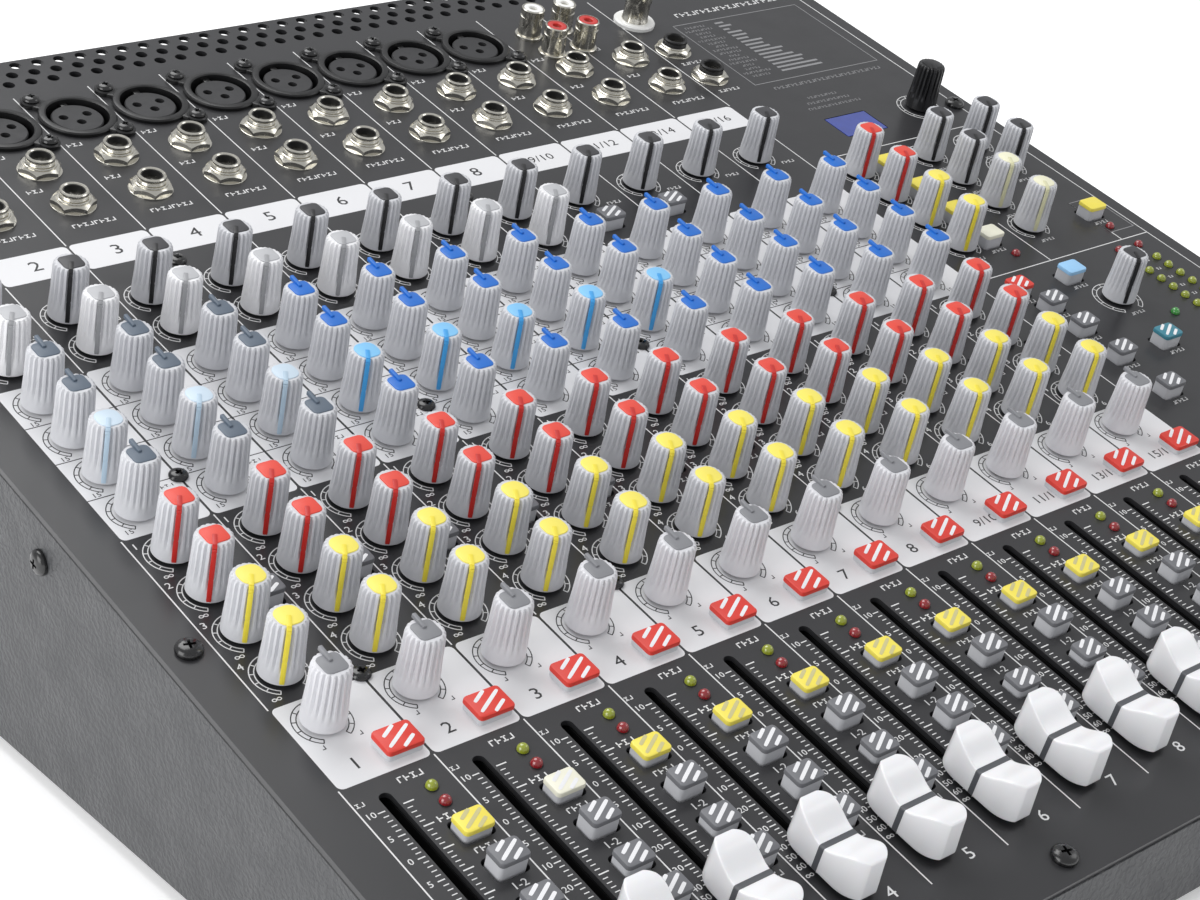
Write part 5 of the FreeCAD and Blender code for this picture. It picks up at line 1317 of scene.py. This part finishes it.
@dataclass(frozen=True)
class Mark:
    """One printed mark, in millimetres: digits and signs, or a row of marks that says nothing.

    Its place is counted from the fader slot, and up from the panel's front edge or from a row of knobs.
    """

    across: float
    up: float
    height: float
    text: str = ""
    width: float = 0.0
    dark: bool = False


# The light areas, as the places of their lower and upper ends up the slope.
PAN_AREA = (101.1 * MM, 129.6 * MM)
EQUALISER_AREA = (195.5 * MM, 260.9 * MM)
NUMBER_AREA = (304.2 * MM, 317.4 * MM)
EQUALISER_LINES = (212.5, 228.5, 244.5)
AUXILIARY_ROW = 139.1
EQUALISER_ROW = 204.6

# The numbers of a fader scale; a space tells the lower 5 and 10 from the upper ones.
FADER_SCALE = {
    "10": 91.5, "5": 83.8, "0": 76.4, "5 ": 69.1, "10 ": 61.5, "20": 54.2, "30": 47.1,
    "40": 40.8, "50": 37.6, "60": 34.4, "∞": 31.5,
}

NUMBERS = (Mark(4.6, 310.8, 4.6, dark=True), Mark(0.0, 106.6, 3.6, dark=True), Mark(7.0, 18.6, 3.4))
WIDE_NUMBERS = (Mark(5.4, 310.8, 3.4, dark=True), Mark(3.4, 106.6, 2.9, dark=True), Mark(7.0, 18.6, 3.4))
AUXILIARY_MARKS = (Mark(-6.2, 5.6, 2.1), Mark(-4.4, -7.2, 1.9, "∞"), Mark(6.4, -7.2, 1.9, "6"))
EQUALISER_MARKS = (
    Mark(-4.6, -6.7, 1.6, "15", dark=True),
    Mark(6.6, -6.7, 1.6, "15", dark=True),
    Mark(11.5, 5.5, 1.3, width=6.0, dark=True),
)
STRIP_MARKS = (
    Mark(-3.6, 114.0, 1.3, width=1.6, dark=True),
    Mark(6.6, 114.4, 1.3, width=1.6, dark=True),
    Mark(8.6, 97.9, 1.8, width=6.4),
    Mark(8.8, 84.0, 1.8, width=5.4),
    Mark(11.0, 72.6, 1.6, width=6.0),
    Mark(11.0, 60.2, 2.0, "1-2"),
    Mark(11.0, 47.6, 2.0, "3-4"),
    Mark(11.5, 35.4, 1.6, width=6.0),
    Mark(11.6, 156.6, 1.4, width=4.6),
    Mark(11.0, 280.0, 1.4, width=5.0),
    Mark(5.4, 325.8, 1.8, width=13.6),
    Mark(-2.4, 346.6, 1.8, width=6.0),
    Mark(-4.0, 366.9, 1.8, width=4.6),
)


@dataclass
class Prints:
    """Everything printed on the top panel: light areas, lines, scales and numbers."""

    panel: Panel
    ink: float = 0.00003
    area: float = 0.00002
    line: float = 0.00035
    strip_pitch: float = 0.0254
    line_offset: float = 0.0174
    strip_low: float = 0.016
    strip_high: float = 0.398
    left_border: float = 0.0082
    right_border: float = 0.0869
    area_gap: float = 0.00035
    knob_pitch: float = 15.9
    monitor_line: float = 197.6
    monitor_line_start: float = 0.0057
    control_line_top: float = 222.0
    control_lines: tuple[float, float] = (37.4, 73.7)
    power_box: tuple[float, float] = (85.4, 202.5)
    fader_line: float = 0.0995
    effects_list_low: tuple[float, float] = (0.0202, 0.3265)
    effects_list_high: tuple[float, float] = (0.0817, 0.3725)

    def build(self) -> None:
        """Makes a piece for the light areas, and one each for the lines, scales, rings and dark print."""
        self.white = Batch("white_print", "panel_paint")
        self.scale = Batch("scale_print", "panel_paint")
        self.ring = Batch("ring_print", "panel_paint")
        self.dark = Batch("dark_print", "panel_paint")
        self.light = Batch("light_print", "panel_paint")
        self.dot = Pattern.of(block(1, 1, 0, 1))
        self.texts: dict[str, Pattern] = {}
        self.areas: dict[tuple[float, float], Pattern] = {}
        self.slots = [self.panel.solids(f"channel_fader_cap_{strip}")[0].across for strip in range(1, 13)]
        self.groups = [self.panel.solids(name)[0].across
                       for name in ("group_fader_cap_1_2", "group_fader_cap_3_4", "main_fader_cap")]
        self.edge = self.slots[-1] + self.line_offset
        self._strips()
        self._scales()
        self._rings()
        self._master()
        self._seams()
        self.light.piece(ROOT)
        self.white.piece(ROOT)
        self.scale.piece(ROOT)
        self.ring.piece(ROOT)
        self.dark.piece(ROOT)

    def _bar(self, batch: Batch, across: float, up: float, width: float, depth: float, finish: Finish,
             turn: float = 0.0) -> None:
        """Adds a printed bar about its middle."""
        size = Matrix.Diagonal((width, depth, self.ink + self.area, 1))
        batch.add(self.dot, self.panel.place(across, up, 0, turn) @ size, finish)

    def _area(self, low: tuple[float, float], high: tuple[float, float]) -> None:
        """Adds a light area with rounded corners between two corners."""
        width, depth = high[0] - low[0], high[1] - low[1]
        key = (round(width, 5), round(depth, 5))
        if key not in self.areas:
            self.areas[key] = Pattern.of(rounded_block(width, depth, 0, self.area, 1.6 * MM, 0, 5))
        place = self.panel.place((low[0] + high[0]) / 2, (low[1] + high[1]) / 2)
        self.light.add(self.areas[key], place, INK_LIGHT)

    def _text(self, batch: Batch, text: str, across: float, up: float, height: float, finish: Finish) -> None:
        """Adds numbers or signs, centred, with a given height of a digit."""
        if text not in self.texts:
            deselect()
            bpy.ops.object.text_add(location=(0, 0, 0))
            made = bpy.context.object
            made.data.body = text
            made.data.align_x = "CENTER"
            made.data.align_y = "CENTER"
            made.data.extrude = 0.5
            made.data.resolution_u = 2
            bpy.ops.object.convert(target="MESH")
            self.texts[text] = Pattern.of(bpy.context.object)
        scale = height / 0.69
        size = Matrix.Diagonal((scale * 1.12, scale, self.ink + self.area, 1))
        batch.add(self.texts[text], self.panel.place(across, up, (self.ink + self.area) / 2) @ size, finish)

    def _word(self, batch: Batch, across: float, up: float, width: float, finish: Finish,
              height: float = 0.0016) -> None:
        """Adds a row of letter-like marks that says nothing.

        Args:
            batch: the piece that takes it.
            across: its middle across the panel.
            up: its middle up the slope.
            width: its length.
            finish: its ink.
            height: height of a letter.
        """
        pitch, wide, stroke = height * 0.98, height * 0.72, height * 0.19
        count = max(1, round(width / pitch))
        for step in range(count):
            middle = across + (step - (count - 1) / 2) * pitch
            side = (wide - stroke) / 2
            kind = (step * 3 + count) % 4
            upright = (-side, side, 0.0, -side)[kind]
            self._bar(batch, middle + upright, up, stroke, height, finish)
            for level in ((1,), (-1,), (1, -1), (0,))[kind]:
                self._bar(batch, middle, up + level * (height - stroke) / 2, wide, stroke, finish)

    def _strips(self) -> None:
        """Lines between the strips, the light areas and the strips' numbers."""
        labels = [str(strip) for strip in range(1, 9)] + ["9/10", "11/12", "13/14", "15/16"]
        left_line = self.slots[0] - self.left_border
        ends = [self.strip_low, *PAN_AREA, *EQUALISER_AREA, *NUMBER_AREA, self.strip_high]
        for across in [left_line, *[slot + self.line_offset for slot in self.slots]]:
            for start, end in zip(ends[::2], ends[1::2]):
                self._bar(self.white, across, (start + end) / 2, self.line, end - start, INK_WHITE)
        for number, (slot, label) in enumerate(zip(self.slots, labels)):
            left = slot + self.line_offset - self.strip_pitch + self.area_gap
            if number == 0:
                left = left_line + self.area_gap
            right = slot + self.line_offset - self.area_gap
            for low, high in (NUMBER_AREA, PAN_AREA, EQUALISER_AREA):
                self._area((left, low), (right, high))
            for up in EQUALISER_LINES:
                self._bar(self.dark, (left + right) / 2, up * MM, right - left, 0.3 * MM, INK_BLACK)
            for number_mark in WIDE_NUMBERS if len(label) > 2 else NUMBERS:
                self._mark(replace(number_mark, text=label), slot)
            self._labels(slot)

    def _labels(self, slot: float) -> None:
        """The small marks beside a strip's knobs, buttons, lamps and sockets."""
        for level, sign in enumerate("4321"):
            row = (AUXILIARY_ROW + self.knob_pitch * level) * MM
            for mark in AUXILIARY_MARKS:
                self._mark(replace(mark, text=mark.text or sign), slot, row)
        for level in range(4):
            row = (EQUALISER_ROW + self.knob_pitch * level) * MM
            for mark in EQUALISER_MARKS:
                self._mark(mark, slot, row)
        for mark in STRIP_MARKS:
            self._mark(mark, slot)

    def _mark(self, mark: Mark, slot: float, row: float = 0.0) -> None:
        """Prints one mark beside a fader slot, above a row."""
        batch, finish = (self.dark, INK_BLACK) if mark.dark else (self.white, INK_WHITE)
        across, up = slot + mark.across * MM, row + mark.up * MM
        if mark.text:
            self._text(batch, mark.text, across, up, mark.height * MM, finish)
        else:
            self._word(batch, across, up, mark.width * MM, finish, mark.height * MM)

    def _scales(self) -> None:
        """The scales on both sides of every fader slot."""
        places = list(FADER_SCALE.values())
        minors = [upper + (lower - upper) * step / 5 for upper, lower in zip(places[:7], places[1:8])
                  for step in range(1, 5)]
        for slot in [*self.slots, *self.groups]:
            self._word(self.scale, slot - 6.4 * MM, 95.4 * MM, 2.4 * MM, INK_WHITE, 1.3 * MM)
            for text, up in FADER_SCALE.items():
                self._text(self.scale, text.strip(), slot - 6.1 * MM, up * MM, 1.7 * MM, INK_WHITE)
                self._bar(self.scale, slot - 3.35 * MM, up * MM, 1.9 * MM, 0.3 * MM, INK_WHITE)
                self._bar(self.scale, slot + 3.8 * MM, up * MM, 2.8 * MM, 0.34 * MM, INK_WHITE)
            for up in minors:
                for side in (-1, 1):
                    self._bar(self.scale, slot + side * 3.15 * MM, up * MM, 1.4 * MM, 0.25 * MM, INK_WHITE)

    def _ladder(self, inner: float, outer: float, rungs: int) -> Pattern:
        """A ladder ring, open towards the front: two arcs with rungs between them.

        Args:
            inner: radius of the inner arc.
            outer: radius of the outer arc.
            rungs: number of gaps between rungs.

        Returns:
            The pattern.
        """
        sweep, stroke = 300.0, 0.27 * MM
        parts = []
        for radius in (inner, outer):
            arc = block(stroke, 0.01 * MM, 0, 1)
            with editing(arc):
                bpy.ops.mesh.select_all(action="SELECT")
                bpy.ops.transform.translate(value=(radius, 0, 0))
                choose(arc, "FACE", lambda face: face.normal.y > 0.9)
                turn = math.radians(sweep)
                bpy.ops.mesh.spin(steps=36, dupli=False, angle=turn, center=(0, 0, 0), axis=(0, 0, 1))
                bpy.ops.mesh.select_all(action="SELECT")
                bpy.ops.mesh.normals_make_consistent(inside=False)
            towards = arc.data.vertices[len(arc.data.vertices) // 2].co
            start = -60.0 if towards.y > 0 else 240.0
            arc.rotation_euler.z = math.radians(start)
            parts.append(arc)
        for step in range(rungs + 1):
            rung = block(outer - inner, stroke, 0, 1)
            angle = math.radians(-60.0 + sweep * step / rungs)
            rung.location = ((outer + inner) / 2 * math.cos(angle), (outer + inner) / 2 * math.sin(angle), 0)
            rung.rotation_euler.z = angle
            parts.append(rung)
        deselect()
        for part in parts:
            part.select_set(True)
        bpy.context.view_layer.objects.active = parts[0]
        bpy.ops.object.transform_apply(location=True, rotation=True, scale=True)
        bpy.ops.object.join()
        return Pattern.of(bpy.context.object)

    def _rings(self) -> None:
        """A ladder ring round every knob, dark on the light areas."""
        small = self._ladder(5.95 * MM, 7.15 * MM, 11)
        large = self._ladder(6.9 * MM, 8.3 * MM, 10)
        knobs = [name for name in frame["nodes"] if "_knob" in name]
        solids = self.panel.solids(*knobs)
        singles = self.panel.solids("monitor_level_knob")
        effects = max(self.panel.solids("master_knobs"), key=lambda solid: solid.up)
        for solid in solids:
            in_area = EQUALISER_AREA[0] < solid.up < EQUALISER_AREA[1] or solid.up < PAN_AREA[1]
            lit = solid.across < self.edge and in_area
            big = solid in singles or solid == effects
            size = Matrix.Diagonal((1, 1, self.ink + self.area, 1))
            place = self.panel.place(solid.across, solid.up) @ size
            batch, finish = (self.dark, INK_BLACK) if lit else (self.ring, INK_WHITE)
            batch.add(large if big else small, place, finish)

    def _seams(self) -> None:
        """Painted shade: thin near-black strips just under the panel's edges, where it meets the side walls."""
        batch = Batch("painted_seam_shade", "black_plastic")
        gap, level = 0.5 * MM, -self.panel.gauge - 0.2 * MM
        # each strip is painted shade standing in for the dark gap of a seam
        for across in (0.0, self.panel.width):
            size = Matrix.Diagonal((self.ink * 2, self.panel.length, gap, 1))
            place = self.panel.place(across, self.panel.length / 2, level - gap)
            batch.add(self.dot, place @ size, DARK_PARTS_AND_SHADE)
        batch.piece(ROOT)

    def _frame(self, low: tuple[float, float], high: tuple[float, float]) -> None:
        """Adds a rectangle of lines."""
        across, up = (low[0] + high[0]) / 2, (low[1] + high[1]) / 2
        for level in (low[1], high[1]):
            self._bar(self.white, across, level, high[0] - low[0] + self.line, self.line, INK_GREY)
        for side in (low[0], high[0]):
            self._bar(self.white, side, up, self.line, high[1] - low[1], INK_GREY)

    def _master(self) -> None:
        """The print of the master section: borders, the effects list and the words."""
        edge = self.edge
        right = edge + self.right_border
        start, level, end = self.monitor_line_start, self.monitor_line, self.control_line_top
        self._bar(self.white, right, 207 * MM, self.line, 382 * MM, INK_WHITE)
        across = (edge + start + right) / 2
        self._bar(self.white, across, level * MM, right - edge - start, self.line, INK_WHITE)
        for across in self.control_lines:
            self._bar(self.white, edge + across * MM, (level + end) / 2 * MM, self.line, (end - level) * MM,
                      INK_WHITE)
        box_right, box_low = self.power_box
        self._frame((edge + self.control_lines[1] * MM, box_low * MM), (edge + box_right * MM, end * MM))
        self._bar(self.white, (edge + right) / 2, self.fader_line, right - edge, self.line, INK_WHITE)
        self._bar(self.white, edge + 47 * MM, 276.5 * MM, 72 * MM, self.line, INK_WHITE)
        low = (edge + self.effects_list_low[0], self.effects_list_low[1])
        high = (edge + self.effects_list_high[0], self.effects_list_high[1])
        self._frame(low, high)
        for level in range(16):
            up = high[1] - (3.0 + level * 2.5) * MM
            width = (9 + 4 * math.sin(level * 1.9)) * MM
            self._word(self.white, low[0] + 8 * MM, up, width, INK_GREY, 1.2 * MM)
            length = (4 + 16 * (level / 15) ** 1.4 + 2 * math.sin(level * 2.3)) * MM
            self._bar(self.white, low[0] + 18 * MM + length / 2, up, length, 1.1 * MM, INK_GREY)
        self._word(self.white, edge + 52 * MM, 322.0 * MM, 54 * MM, INK_GREY, 1.7 * MM)
        self._word(self.white, edge + 52 * MM, 379.0 * MM, 50 * MM, INK_WHITE, 2.6 * MM)
        for level in range(3):
            up, width = (305.6 + 3.4 * level) * MM, (26 - 6 * level) * MM
            self._word(self.white, edge + 40 * MM, up, width, INK_GREY, 1.3 * MM)
        for solid in self.panel.solids("master_buttons"):
            self._word(self.white, solid.across, solid.up - 5.4 * MM, 6.5 * MM, INK_WHITE, 1.4 * MM)
        for solid in self.panel.solids("master_knobs", "monitor_level_knob"):
            self._word(self.white, solid.across, solid.up - 8.8 * MM, 7.0 * MM, INK_WHITE, 1.3 * MM)
        meter = [solid for solid in self.panel.solids("indicator_leds") if solid.across > edge + 60 * MM]
        inner = (min(solid.across for solid in meter) + max(solid.across for solid in meter)) / 2
        for solid in meter:
            if solid.across < inner:
                self._word(self.white, inner, solid.up, 2.4 * MM, INK_WHITE, 1.1 * MM)
        for solid in self.panel.solids("jack_sockets"):
            if solid.across > edge:
                across, up = solid.across + 1 * MM, solid.up - 9.6 * MM
                self._word(self.white, across, up, 9 * MM, INK_WHITE, 1.6 * MM)


# ---------------------------------------------------------------- studio


@dataclass
class Studio:
    """The floor, the lamps and the camera."""

    camera_place: tuple[float, float, float] = (-0.4360, -0.4754, 0.3289)
    heading: float = 40.52
    downward: float = 23.79
    roll: float = -1.56
    lens: float = 71.02
    floor_size: float = 8.0

    def build(self) -> None:
        """Sets up the studio."""
        self._camera()
        self._floor()
        world = bpy.data.worlds.new("studio")
        bpy.context.scene.world = world
        world.use_nodes = True
        sky = world.node_tree.nodes["Background"]
        sky.inputs["Color"].default_value = (0.97, 0.98, 1.0, 1.0)
        sky.inputs["Strength"].default_value = 0.55
        self._lamp("soft_top", (-0.1, 0.5, 1.2), 0.9, 9.0)
        self._lamp("soft_left", (-1.2, -0.1, 0.45), 0.8, 6.5)
        self._lamp("soft_right", (1.1, -0.6, 0.9), 0.7, 2.5)
        bpy.context.scene.view_settings.view_transform = "Standard"

    def _camera(self) -> None:
        """The camera, aimed by its heading, its downward angle and its roll."""
        heading, down = math.radians(self.heading), math.radians(self.downward)
        level = math.cos(down)
        aim = Vector((math.sin(heading) * level, math.cos(heading) * level, -math.sin(down)))
        data = bpy.data.cameras.new("camera")
        data.lens = self.lens
        data.sensor_width = 36.0
        data.clip_start = 0.01
        camera = bpy.data.objects.new("camera", data)
        bpy.context.scene.collection.objects.link(camera)
        turn = aim.to_track_quat("-Z", "Y").to_matrix().to_4x4()
        camera.matrix_world = (Matrix.Translation(self.camera_place) @ turn
                               @ Matrix.Rotation(math.radians(-self.roll), 4, "Z"))
        bpy.context.scene.camera = camera

    def _floor(self) -> None:
        """A plain pale floor."""
        deselect()
        bpy.ops.mesh.primitive_plane_add(size=self.floor_size, location=(0, 0, 0))
        floor = bpy.context.object
        floor.name = "floor"
        paper = Finish("floor_paper", "fbfbfb", 0.8, 0.05, 0.01, 0.2, Grain.PAINT, 0.01, 0.00001, glow=0.35)
        floor.data.materials.append(paper.material())

    @staticmethod
    def _lamp(name: str, place: tuple[float, float, float], size: float, power: float) -> None:
        """A square soft lamp aimed at the console."""
        data = bpy.data.lights.new(name, "AREA")
        data.size = size
        data.energy = power
        lamp = bpy.data.objects.new(name, data)
        bpy.context.scene.collection.objects.link(lamp)
        lamp.location = place
        lamp.rotation_euler = (-Vector(place)).to_track_quat("-Z", "Y").to_euler()


def dress_plain_nodes() -> None:
    """Gives every node that keeps its own shape its finish."""
    for node, finish in PLAIN_FINISHES.items():
        mesh = frame["nodes"][node].data
        mesh.materials.clear()
        mesh.materials.append(finish.material())
        LOG.info("%s: finished as %s", node, finish.name)


def main() -> None:
    """Builds the console's looks in order."""
    logging.basicConfig(level=logging.INFO, format="%(message)s")
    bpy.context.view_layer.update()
    Studio().build()
    panel = Panel()
    dress_plain_nodes()
    Knobs(panel).build()
    Buttons(panel).build()
    Faders(panel).build()
    Sockets(panel).build()
    Lamps(panel).build()
    Screws(panel).build()
    Prints(panel).build()


if __name__ == "__main__":
    main()
